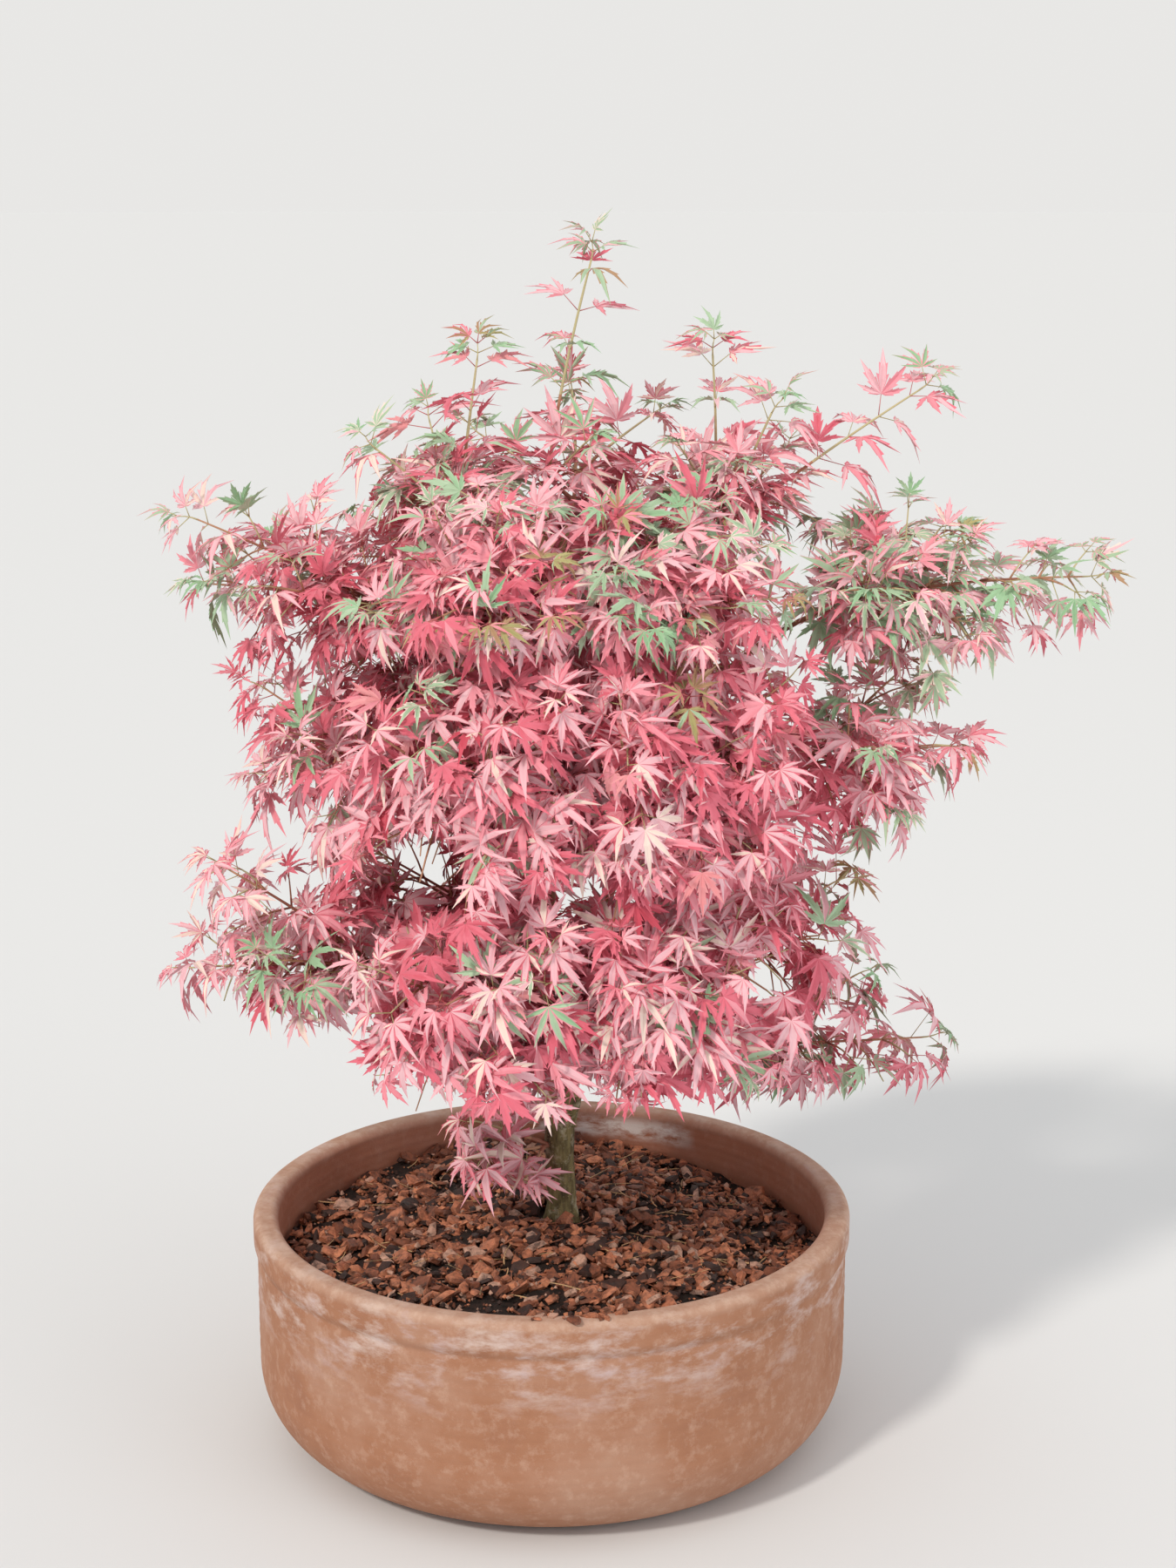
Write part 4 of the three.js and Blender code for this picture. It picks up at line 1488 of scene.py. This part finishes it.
# The ripple that turning leaves on the wall, outside and inside: its depth, and its turn for each
# millimetre of height. The wall stands true at its foot and wanders from round above it.
RIPPLE = {"outer": (0.22, 0.9), "inner": (0.3, 0.8)}
GROOVE = {"depth": 0.35, "under": 3, "width": 6}
MERGE_DISTANCE = 0.00004
SMOOTH_BELOW = math.radians(38)
STEADY_FOOT = 0.05


def pan_profile():
    """Radius and height all the way round the pan's wall, from the middle of its underside to the
    middle of its floor, with its turning ripple and a faint groove under the rim's band"""
    height, wall = PAN["height"], PAN["wall_radius"]
    corner, inner, lip, base = PAN["corner"], PAN["inner_corner"], PAN["lip"], PAN["base"]
    band = height - PAN["rim_band"]
    rows = [(0, 0), (60, 0), (110, 0), (140, 0)]
    rows += arc((wall - corner, corner), corner, -90, 0, 20)
    depth, turn = RIPPLE["outer"]
    for z in np.arange(corner + 4, band - 4, 4):
        rows.append((wall + depth * math.sin(z * turn), z))
    step = PAN["rim_radius"] - wall
    for z in range(-6, 9):
        groove = GROOVE["depth"] * math.exp(-((z + GROOVE["under"]) ** 2) / GROOVE["width"])
        rows.append((wall + step * smoothstep(z, -3, 5) - groove, band + z))
    rows += arc((PAN["rim_radius"] - lip, height - lip), lip, 0, 90, 8)
    rows += arc((PAN_INNER + lip, height - lip), lip, 90, 180, 8)
    depth, turn = RIPPLE["inner"]
    for z in np.arange(height - lip - 4, base + inner, -5):
        rows.append((PAN_INNER - depth * math.sin(z * turn), z))
    rows += arc((PAN_INNER - inner, base + inner), inner, 0, -90, 12)
    rows += [(90, base), (45, base), (0, base)]
    return rows


class MAPLE_PG_pan(bpy.types.PropertyGroup):
    """Sizes of the pan's finish"""

    facets: IntProperty(name="Facets", description="Sides of the turned pan", default=144, min=48)
    wobble: FloatProperty(
        name="Wobble", description="How far the rim wanders from round", default=0.0006, unit="LENGTH"
    )


class MAPLE_OT_pan(bpy.types.Operator):
    """Turns the terracotta pan, pierces its drain holes and fires it"""

    bl_idname = "maple.pan"
    bl_label = "Terracotta Pan"

    def execute(self, context):
        settings = context.scene.maple_pan
        pan = self.turned(context, settings.facets)
        self.drift(pan, settings.wobble)
        self.pierce(context, pan)
        select_only(pan)
        bpy.ops.object.shade_smooth_by_angle(angle=SMOOTH_BELOW)
        pan.data.materials.append(terracotta(PAN["height"]))
        settle(pan, ["pot"])
        return {"FINISHED"}

    def turned(self, context, facets):
        """The pan's profile, spun once round its axis"""
        mesh = bpy.data.meshes.new("pan")
        rows = [(radius * MM, 0, z * MM) for radius, z in pan_profile()]
        mesh.from_pydata(rows, [(i, i + 1) for i in range(len(rows) - 1)], [])
        pan = bpy.data.objects.new("pan", mesh)
        context.collection.objects.link(pan)
        select_only(pan)
        bpy.ops.object.mode_set(mode="EDIT")
        bpy.ops.mesh.select_all(action="SELECT")
        bpy.ops.mesh.spin(
            steps=facets, angle=2 * math.pi, center=(0, 0, 0), axis=(0, 0, 1), use_auto_merge=True
        )
        bpy.ops.mesh.select_all(action="SELECT")
        bpy.ops.mesh.remove_doubles(threshold=MERGE_DISTANCE)
        bpy.ops.mesh.normals_make_consistent(inside=False)
        bpy.ops.object.mode_set(mode="OBJECT")
        return pan

    def drift(self, pan, wobble):
        """Lets the wall wander a little from round, more so towards its rim"""
        for vertex in pan.data.vertices:
            co = vertex.co
            out = Vector((co.x, co.y, 0))
            if out.length > STEADY_FOOT:
                drift = noise.noise(Vector((co.x, co.y, co.z * 0.4)) * 9)
                rise = min(1, co.z / STEADY_FOOT)
                vertex.co = co + out.normalized() * drift * wobble * rise

    def pierce(self, context, pan):
        """Cuts the drain holes through the pan's floor"""
        for number in range(DRAIN["count"]):
            spot = on_circle(DRAIN["ring"] * MM, 90 + 360 / DRAIN["count"] * number)
            bpy.ops.mesh.primitive_cylinder_add(
                vertices=32,
                radius=DRAIN["radius"] * MM,
                depth=PAN["base"] * 2 * MM,
                location=(*spot, PAN["base"] * MM / 2),
            )
            drill = context.active_object
            select_only(pan)
            cut = pan.modifiers.new("drain_hole", "BOOLEAN")
            cut.operation = "DIFFERENCE"
            cut.solver = "EXACT"
            cut.object = drill
            bpy.ops.object.modifier_apply(modifier=cut.name)
            bpy.data.objects.remove(drill)


# The mulch


def chip_shapes():
    """A few torn flakes of unit length, from which all the chips are copied"""
    shapes = []
    for number in range(10):
        draw = Draw("flake", number)
        corners = 5 + number % 2
        rims = []
        for _ in range(2):
            rim = []
            for corner in range(corners):
                turn = 2 * math.pi * (corner + draw.between(-0.42, 0.42)) / corners
                reach = draw.between(0.3, 0.6)
                rim.append((math.cos(turn) * reach, math.sin(turn) * reach))
            rims.append(rim)
        lower, upper = rims
        points = [(x, y, -0.5) for x, y in lower]
        for (a, b), (x, y) in zip(lower, upper):
            points.append((mix(a, x, 0.45) * 0.92, mix(b, y, 0.45) * 0.92, draw.between(0.2, 0.6)))
        points += [(0, 0, -0.5), (draw.between(-0.1, 0.1), 0, draw.between(0.35, 0.75))]
        faces = []
        for corner in range(corners):
            after = (corner + 1) % corners
            faces += [(corner, after, corners + after), (corner, corners + after, corners + corner)]
            faces.append((2 * corners, after, corner))
            faces.append((2 * corners + 1, corners + corner, corners + after))
        shapes.append((np.array(points), np.array(faces)))
    return shapes


CRUMB_POINTS = np.array(
    ((1, 0, 0), (-1, 0, 0), (0, 1, 0), (0, -1, 0), (0, 0, 1), (0, 0, -1)), dtype=float
)
CRUMB_FACES = np.array(
    ((0, 2, 4), (2, 1, 4), (1, 3, 4), (3, 0, 4), (2, 0, 5), (1, 2, 5), (3, 1, 5), (0, 3, 5))
)

# The slots that a chip, a crumb and a fibre are dealt from, by the order of CHIP_COLOURS
CHIP_SLOTS = (0, 0, 0, 1, 1, 1, 2, 2, 3, 4)
CRUMB_SLOTS = (0, 1, 2, 2, 3, 4)
FIBRE_SLOTS = (0, 1, 5, 5)

# How far what is strewn stays from the trunk's foot and from the wall. Where the chips are
# scraped off by more than BARE_FROM the compost shows, and a few small ones lie on the rim.
TRUNK_CLEARANCE = {"chip": 15, "crumb": 14, "fibre": 20}
WALL_CLEARANCE = {"chip": 5, "crumb": 3, "fibre": 22}
BARE_FROM = 0.24
COMPOST_DROP = 3.5
RIM_CHIPS = {"count": 26, "bearing": 276, "spread": 9, "small": 0.75}


def bare_patch(radius, bearing):
    """How far the chips have been scraped off the dark compost here"""
    return noise.noise(Vector((*on_circle(radius, bearing), 31)) * 0.045)


def strewn(draw, kind):
    """A bearing and a radius anywhere on the heap"""
    bearing = draw.between(0, 360)
    return bearing, math.sqrt(draw.next()) * (PAN_INNER - WALL_CLEARANCE[kind])


class MAPLE_PG_mulch(bpy.types.PropertyGroup):
    """Sizes of the bark mulch"""

    chips: IntProperty(
        name="Chips", description="How many flakes lie on the heap", default=4300, min=100
    )
    crumbs: IntProperty(
        name="Crumbs", description="How many small bits lie between", default=3200, min=0
    )
    fibres: IntProperty(
        name="Fibres", description="How many torn strands lie among them", default=170, min=0
    )
    longest: FloatProperty(
        name="Longest", description="Length of the largest flakes", default=0.021, unit="LENGTH"
    )


class MAPLE_OT_mulch(bpy.types.Operator):
    """Heaps the compost and strews the bark chips and fibres over it"""

    bl_idname = "maple.mulch"
    bl_label = "Bark Mulch"

    def execute(self, context):
        settings = context.scene.maple_mulch
        heap = self.heap()
        heap.data.materials.append(humus_and_gap_shade())
        settle(heap, ["bark_mulch"])
        chips = Joined()
        shapes = chip_shapes()
        longest = settings.longest / MM
        for number in range(settings.chips):
            draw = Draw("chip", number)
            bearing, radius = strewn(draw, "chip")
            if radius < TRUNK_CLEARANCE["chip"] or bare_patch(radius, bearing) > BARE_FROM:
                continue
            level = mulch_top(radius, bearing) + draw.between(-2.2, 2.4)
            self.chip(chips, draw, shapes, longest, (*on_circle(radius, bearing), level))
        for number in range(RIM_CHIPS["count"]):
            draw = Draw("rim_chip", number)
            bearing = RIM_CHIPS["bearing"] + draw.between(-RIM_CHIPS["spread"], RIM_CHIPS["spread"])
            radius = draw.between(PAN_INNER - 8, PAN_INNER + 13)
            level = max(mulch_height(PAN_INNER, bearing), PAN["height"] - 6) + 1.5
            if radius > PAN_INNER + 2:
                level = PAN["height"] + 1.0
            spot = (*on_circle(radius, bearing), level)
            self.chip(chips, draw, shapes, longest, spot, RIM_CHIPS["small"])
        for number in range(settings.crumbs):
            self.crumb(chips, Draw("crumb", number))
        for number in range(settings.fibres):
            self.fibre(chips, Draw("fibre", number))
        piece = chips.piece("bark_chips", chip_materials(), smooth=False)
        settle(piece, ["bark_mulch"])
        return {"FINISHED"}

    def heap(self):
        """The compost under the chips: a closed drum with the heap's surface on top"""
        around_it, rings = 96, 30
        outer = PAN_INNER - 0.6
        floor = SOIL_TOP + 0.3
        rows = [(outer, floor)] + [(outer * (1 - i / rings), None) for i in range(rings)]
        points = [(0, 0, floor)]
        for radius, level in rows:
            for i in range(around_it):
                bearing = 360 * i / around_it
                x, y = on_circle(radius, bearing)
                lump = 1.6 * noise.noise(Vector((x, y, 3)) * 0.07)
                if level is None:
                    points.append((x, y, mulch_top(radius, bearing) + lump - COMPOST_DROP))
                else:
                    points.append((x, y, level))
        points.append((0, 0, MULCH["crown"] - 1))
        last = len(points) - 1
        faces = []
        for i in range(around_it):
            after = (i + 1) % around_it
            faces.append((0, 1 + after, 1 + i))
            for row in range(len(rows) - 1):
                a, b = 1 + row * around_it + i, 1 + row * around_it + after
                faces += [(a, b, b + around_it), (a, b + around_it, a + around_it)]
            start = 1 + (len(rows) - 1) * around_it
            faces.append((start + i, start + after, last))
        joined = Joined()
        joined.add(np.array(points), np.array(faces), 0)
        return joined.piece("compost_heap", [], smooth=True)

    def chip(self, chips, draw, shapes, longest, spot, small=1.0):
        """One flake, turned and tilted anyhow; the small ones lie flatter"""
        length = mix(6, longest, draw.next() ** 1.9) * small
        wide = length * draw.between(0.36, 0.8)
        thick = min(length * draw.between(0.12, 0.26), 3.6)
        points, faces = draw.pick(shapes)
        points = points * np.array((length, wide, thick))
        lie = Quaternion((0, 0, 1), draw.between(0, 2 * math.pi))
        tilt = 0.25 if small < 1 else 0.7
        lie = Quaternion((1, 0, 0), draw.between(-tilt, tilt)) @ lie
        lie = Quaternion((0, 1, 0), draw.between(-tilt, tilt)) @ lie
        turned = points @ np.array(lie.to_matrix()).T
        chips.add(turned + np.array(spot), faces, draw.pick(CHIP_SLOTS))

    def crumb(self, chips, draw):
        """A bit of bark of a few millimetres, with eight faces"""
        bearing, radius = strewn(draw, "crumb")
        if radius < TRUNK_CLEARANCE["crumb"]:
            return
        level = mulch_top(radius, bearing) + draw.between(-3.4, 1.6)
        spot = np.array((*on_circle(radius, bearing), level))
        size = mix(0.9, 2.6, draw.next() ** 2)
        reach = np.array([draw.between(0.6, 1.5) for _ in range(6)]) * size
        chips.add(CRUMB_POINTS * reach[:, None] + spot, CRUMB_FACES, draw.pick(CRUMB_SLOTS))

    def fibre(self, chips, draw):
        """A torn strand of bark, bent and tapering, that lies on the chips"""
        bearing, radius = strewn(draw, "fibre")
        if radius < TRUNK_CLEARANCE["fibre"]:
            return
        start = Vector((*on_circle(radius, bearing), mulch_top(radius, bearing) + 2.5))
        heading = draw.between(0, 2 * math.pi)
        run = Vector((math.cos(heading), math.sin(heading), draw.between(-0.05, 0.22)))
        run *= draw.between(9, 26)
        bend = start + run * 0.5 + Vector((run.y, -run.x, 4)) * draw.between(-0.25, 0.25)
        course = bent(start, bend, start + run, 5)
        thick = draw.between(0.3, 0.6)
        slots = (draw.pick(FIBRE_SLOTS),)
        add_tube(chips, course, lambda t: thick * (1.1 - 0.6 * t), *TUBES["fibre"], slots)


# The wood


class MAPLE_PG_wood(bpy.types.PropertyGroup):
    """Sizes of the bark's relief"""

    ridge: FloatProperty(
        name="Ridge", description="Height of the trunk's bark ridges", default=0.0007, unit="LENGTH"
    )


class MAPLE_OT_wood(bpy.types.Operator):
    """Makes the trunk with its stub, the two stems and the boughs, with their bark's relief"""

    bl_idname = "maple.wood"
    bl_label = "Trunk And Boughs"

    def execute(self, context):
        ridge = context.scene.maple_wood.ridge / MM
        masses = layout()
        limbs = grow_limbs(masses)
        settle(self.trunk(limbs, ridge), ["trunk"])
        settle(self.stems(limbs, ridge), list(STEMS))
        boughs = [name for name in limbs if name.startswith("bough_")]
        settle(self.boughs(limbs, boughs, ridge), boughs)
        return {"FINISHED"}

    def trunk(self, limbs, ridge):
        """The trunk with five low root toes, and the stub with the lip healed round its cut"""
        course, radius_at = limbs["trunk"]

        def relief(spot, share, turn):
            cracks = noise.noise(Vector((spot.x * 0.5, spot.y * 0.5, spot.z * 0.09)))
            fine = noise.noise(Vector((spot.x * 1.3, spot.y * 1.3, spot.z * 0.3)))
            knots = noise.noise(Vector((spot.x * 0.12, spot.y * 0.12, spot.z * 0.06 + 7)))
            toes = max(0, 1 - share / 0.3) ** 2 * 1.5 * math.sin(turn * 5 + 1)
            return ridge * (cracks + 0.6 * fine) + 0.7 * knots + toes

        joined = Joined()
        add_tube(joined, course, radius_at, *TUBES["trunk"], (0,), relief)
        root = around(STUB["bearing"], STUB["root"], TRUNK["top"] - 16)
        end = around(STUB["bearing"], STUB["out"], STUB["up"])
        stub = Course([root.lerp(end, i / 20) for i in range(21)])

        def lipped(share):
            callus = 0.7 * math.exp(-(((share - 0.93) / 0.05) ** 2))
            return STUB["radius"] + 0.5 * (1 - share) + callus - 1.6 * max(0, share - 0.96) / 0.04

        add_tube(joined, stub, lipped, *TUBES["stub"], (0,) * 24 + (1,), relief)
        return joined.piece("trunk_bark", [trunk_bark(), cut_wood()], smooth=True)

    def stems(self, limbs, ridge):
        """The two stems, lightly ridged and a little thicker at each old node"""
        joined = Joined()

        def relief(spot, share, turn):
            grain = noise.noise(Vector((spot.x * 0.6, spot.y * 0.6, spot.z * 0.12)))
            knee = math.exp(-((((share * 9) % 1) - 0.5) ** 2) * 90)
            return ridge * 0.5 * grain + 0.4 * knee

        for name in STEMS:
            course, radius_at = limbs[name]
            add_tube(joined, course, radius_at, *TUBES["stem"], (0,), relief)
        return joined.piece("stem_bark", [stem_bark()], smooth=True)

    def boughs(self, limbs, names, ridge):
        """The boughs, with a fainter relief"""
        joined = Joined()

        def relief(spot, share, turn):
            return ridge * 0.4 * noise.noise(Vector((spot.x * 0.5, spot.y * 0.5, spot.z * 0.5)))

        for name in names:
            course, radius_at = limbs[name]
            add_tube(joined, course, radius_at, *TUBES["bough"], (0,), relief)
        return joined.piece("bough_bark", [stem_bark()], smooth=True)


# The crown


class MAPLE_PG_crown(bpy.types.PropertyGroup):
    """Sizes of the leaves and of how they are spaced"""

    leaf_reach: FloatProperty(
        name="Leaf Reach",
        description="From a leaf's stalk to the tip of its middle lobe",
        default=0.0345,
        unit="LENGTH",
    )
    node_gap: FloatProperty(
        name="Node Gap", description="Between two nodes of a shoot", default=0.021, unit="LENGTH"
    )
    pair_gap: FloatProperty(
        name="Pair Gap", description="Between two pairs on a twig", default=0.018, unit="LENGTH"
    )
    spray_reach: FloatProperty(
        name="Spray Reach", description="Length of a side twig", default=0.046, unit="LENGTH"
    )


# The pieces that the leaves are joined in, each with its masses
CROWN_GROUPS = {
    "front_low": ("front_left_low", "front_right_low", "foot_tuft"),
    "front_middle": ("front_left_middle", "front_right_middle"),
    "front_high": ("front_left_high", "front_right_high"),
    "back_low": ("back_left_low", "back_right_low"),
    "back_middle": ("back_right_middle", "back_left_middle"),
    "back_high": ("back_right_high", "back_left_high"),
    "left": ("left_low", "left_middle", "left_high"),
    "right": ("right_low", "right_middle", "right_reach"),
    "top": ("top_left", "top_back", "top_spire", "top_right"),
}


class MAPLE_OT_crown(bpy.types.Operator):
    """Grows the shoots, side twigs, leaf stalks and leaves of every mass of foliage"""

    bl_idname = "maple.crown"
    bl_label = "Leaves And Twigs"

    def execute(self, context):
        settings = context.scene.maple_crown
        masses = layout()
        limbs = grow_limbs(masses)
        shapes = leaf_shapes()
        leaf_skins = leaf_materials()
        numbers = {mass["name"]: number for number, mass in enumerate(masses)}
        twigs, stalks = Joined(), Joined()
        for group, names in CROWN_GROUPS.items():
            foliage = Foliage(shapes, settings, twigs, stalks)
            for name in names:
                number = numbers[name]
                mass = masses[number]
                for index, (course, thick) in enumerate(shoot_courses(mass, number, limbs)):
                    foliage.shoot(mass, number, index, course, thick)
            piece = foliage.leaves.piece("leaves_" + group, leaf_skins, smooth=False)
            settle(piece, ["foliage_" + name for name in names])
        nodes = ["foliage_" + mass["name"] for mass in masses]
        settle(twigs.piece("twigs", twig_materials(), smooth=True), nodes)
        settle(stalks.piece("leaf_stalks", stalk_materials(), smooth=True), nodes)
        return {"FINISHED"}


# The soil under the mulch keeps its solid, with a better finish


class MAPLE_OT_soil(bpy.types.Operator):
    """Gives the potting soil its finish"""

    bl_idname = "maple.soil"
    bl_label = "Potting Soil"

    def execute(self, context):
        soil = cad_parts["potting_soil"]
        soil.data.materials.clear()
        soil.data.materials.append(humus_and_gap_shade())
        return {"FINISHED"}


# The stage


class MAPLE_PG_stage(bpy.types.PropertyGroup):
    """Light and floor of the studio"""

    floor_colour: FloatVectorProperty(
        name="Floor",
        description="Colour of the floor",
        subtype="COLOR",
        size=4,
        default=linear("#DCDEE0"),
    )
    sun: FloatProperty(name="Sun", description="Strength of the main light", default=1.52, min=0)
    softness: FloatProperty(
        name="Softness", description="Width of the sun", default=0.11, subtype="ANGLE"
    )
    sky: FloatProperty(
        name="Sky", description="Strength of the light from all round", default=0.92, min=0
    )
    fill: FloatProperty(
        name="Fill Light", description="Power of the soft lamp", default=14.0, unit="POWER"
    )


class MAPLE_OT_stage(bpy.types.Operator):
    """Sets the floor, the soft studio lights and the camera at the photograph's angle"""

    bl_idname = "maple.stage"
    bl_label = "Studio"

    def execute(self, context):
        settings = context.scene.maple_stage
        scene = context.scene
        bpy.ops.object.select_all(action="DESELECT")
        bpy.ops.mesh.primitive_circle_add(vertices=96, radius=60, fill_type="NGON", location=(0, 0, 0))
        floor = context.active_object
        floor.name = "studio_floor"
        material, _, _ = new_material("studio_floor_paper", settings.floor_colour, 0.9)
        floor.data.materials.append(material)
        sun = bpy.data.lights.new("sun", "SUN")
        sun.angle = settings.softness
        sun.energy = settings.sun
        sun.color = linear("#FFF7EC")[:3]
        lamp = bpy.data.lights.new("fill", "AREA")
        lamp.shape = "DISK"
        lamp.size = 2.2
        lamp.energy = settings.fill
        for data, spot in ((sun, SUN_PLACE), (lamp, LAMP_PLACE)):
            light = bpy.data.objects.new(data.name, data)
            light.location = spot
            aim = LIGHTS_AIM - light.location
            light.rotation_euler = aim.to_track_quat("-Z", "Y").to_euler()
            context.collection.objects.link(light)
        world = bpy.data.worlds.new("studio")
        scene.world = world
        world.use_nodes = True
        sky = world.node_tree.nodes["Background"]
        sky.inputs["Color"].default_value = linear("#F1F0EE")
        sky.inputs["Strength"].default_value = settings.sky
        camera = bpy.data.objects.new("camera", bpy.data.cameras.new("camera"))
        camera.data.lens = CAMERA["lens"]
        camera.data.sensor_width = CAMERA["sensor"]
        camera.location = CAMERA["place"]
        camera.rotation_euler = (math.radians(90 - CAMERA["down"]), 0, 0)
        context.collection.objects.link(camera)
        scene.camera = camera
        scene.view_settings.view_transform = "Standard"
        return {"FINISHED"}


class MAPLE_PT_panel(bpy.types.Panel):
    """Lists the pieces and their sizes"""

    bl_label = "Maple"
    bl_idname = "MAPLE_PT_panel"
    bl_space_type = "VIEW_3D"
    bl_region_type = "UI"
    bl_category = "Maple"

    def draw(self, context):
        for operator, group in STEPS:
            self.layout.operator(operator.bl_idname)
            if group:
                settings = getattr(context.scene, group[0])
                for name in group[1].__annotations__:
                    self.layout.prop(settings, name)


STEPS = (
    (MAPLE_OT_stage, ("maple_stage", MAPLE_PG_stage)),
    (MAPLE_OT_pan, ("maple_pan", MAPLE_PG_pan)),
    (MAPLE_OT_soil, None),
    (MAPLE_OT_mulch, ("maple_mulch", MAPLE_PG_mulch)),
    (MAPLE_OT_wood, ("maple_wood", MAPLE_PG_wood)),
    (MAPLE_OT_crown, ("maple_crown", MAPLE_PG_crown)),
)


def register():
    """Registers the sizes, the operators and the panel"""
    for operator, group in STEPS:
        if group:
            bpy.utils.register_class(group[1])
            setattr(bpy.types.Scene, group[0], PointerProperty(type=group[1]))
        bpy.utils.register_class(operator)
    bpy.utils.register_class(MAPLE_PT_panel)


def unregister():
    """Takes away all that register added"""
    bpy.utils.unregister_class(MAPLE_PT_panel)
    for operator, group in reversed(STEPS):
        bpy.utils.unregister_class(operator)
        if group:
            delattr(bpy.types.Scene, group[0])
            bpy.utils.unregister_class(group[1])


def main():
    """Builds all the pieces"""
    register()
    for name in ("stage", "pan", "soil", "mulch", "wood", "crown"):
        getattr(bpy.ops.maple, name)()


if __name__ == "__main__":
    main()
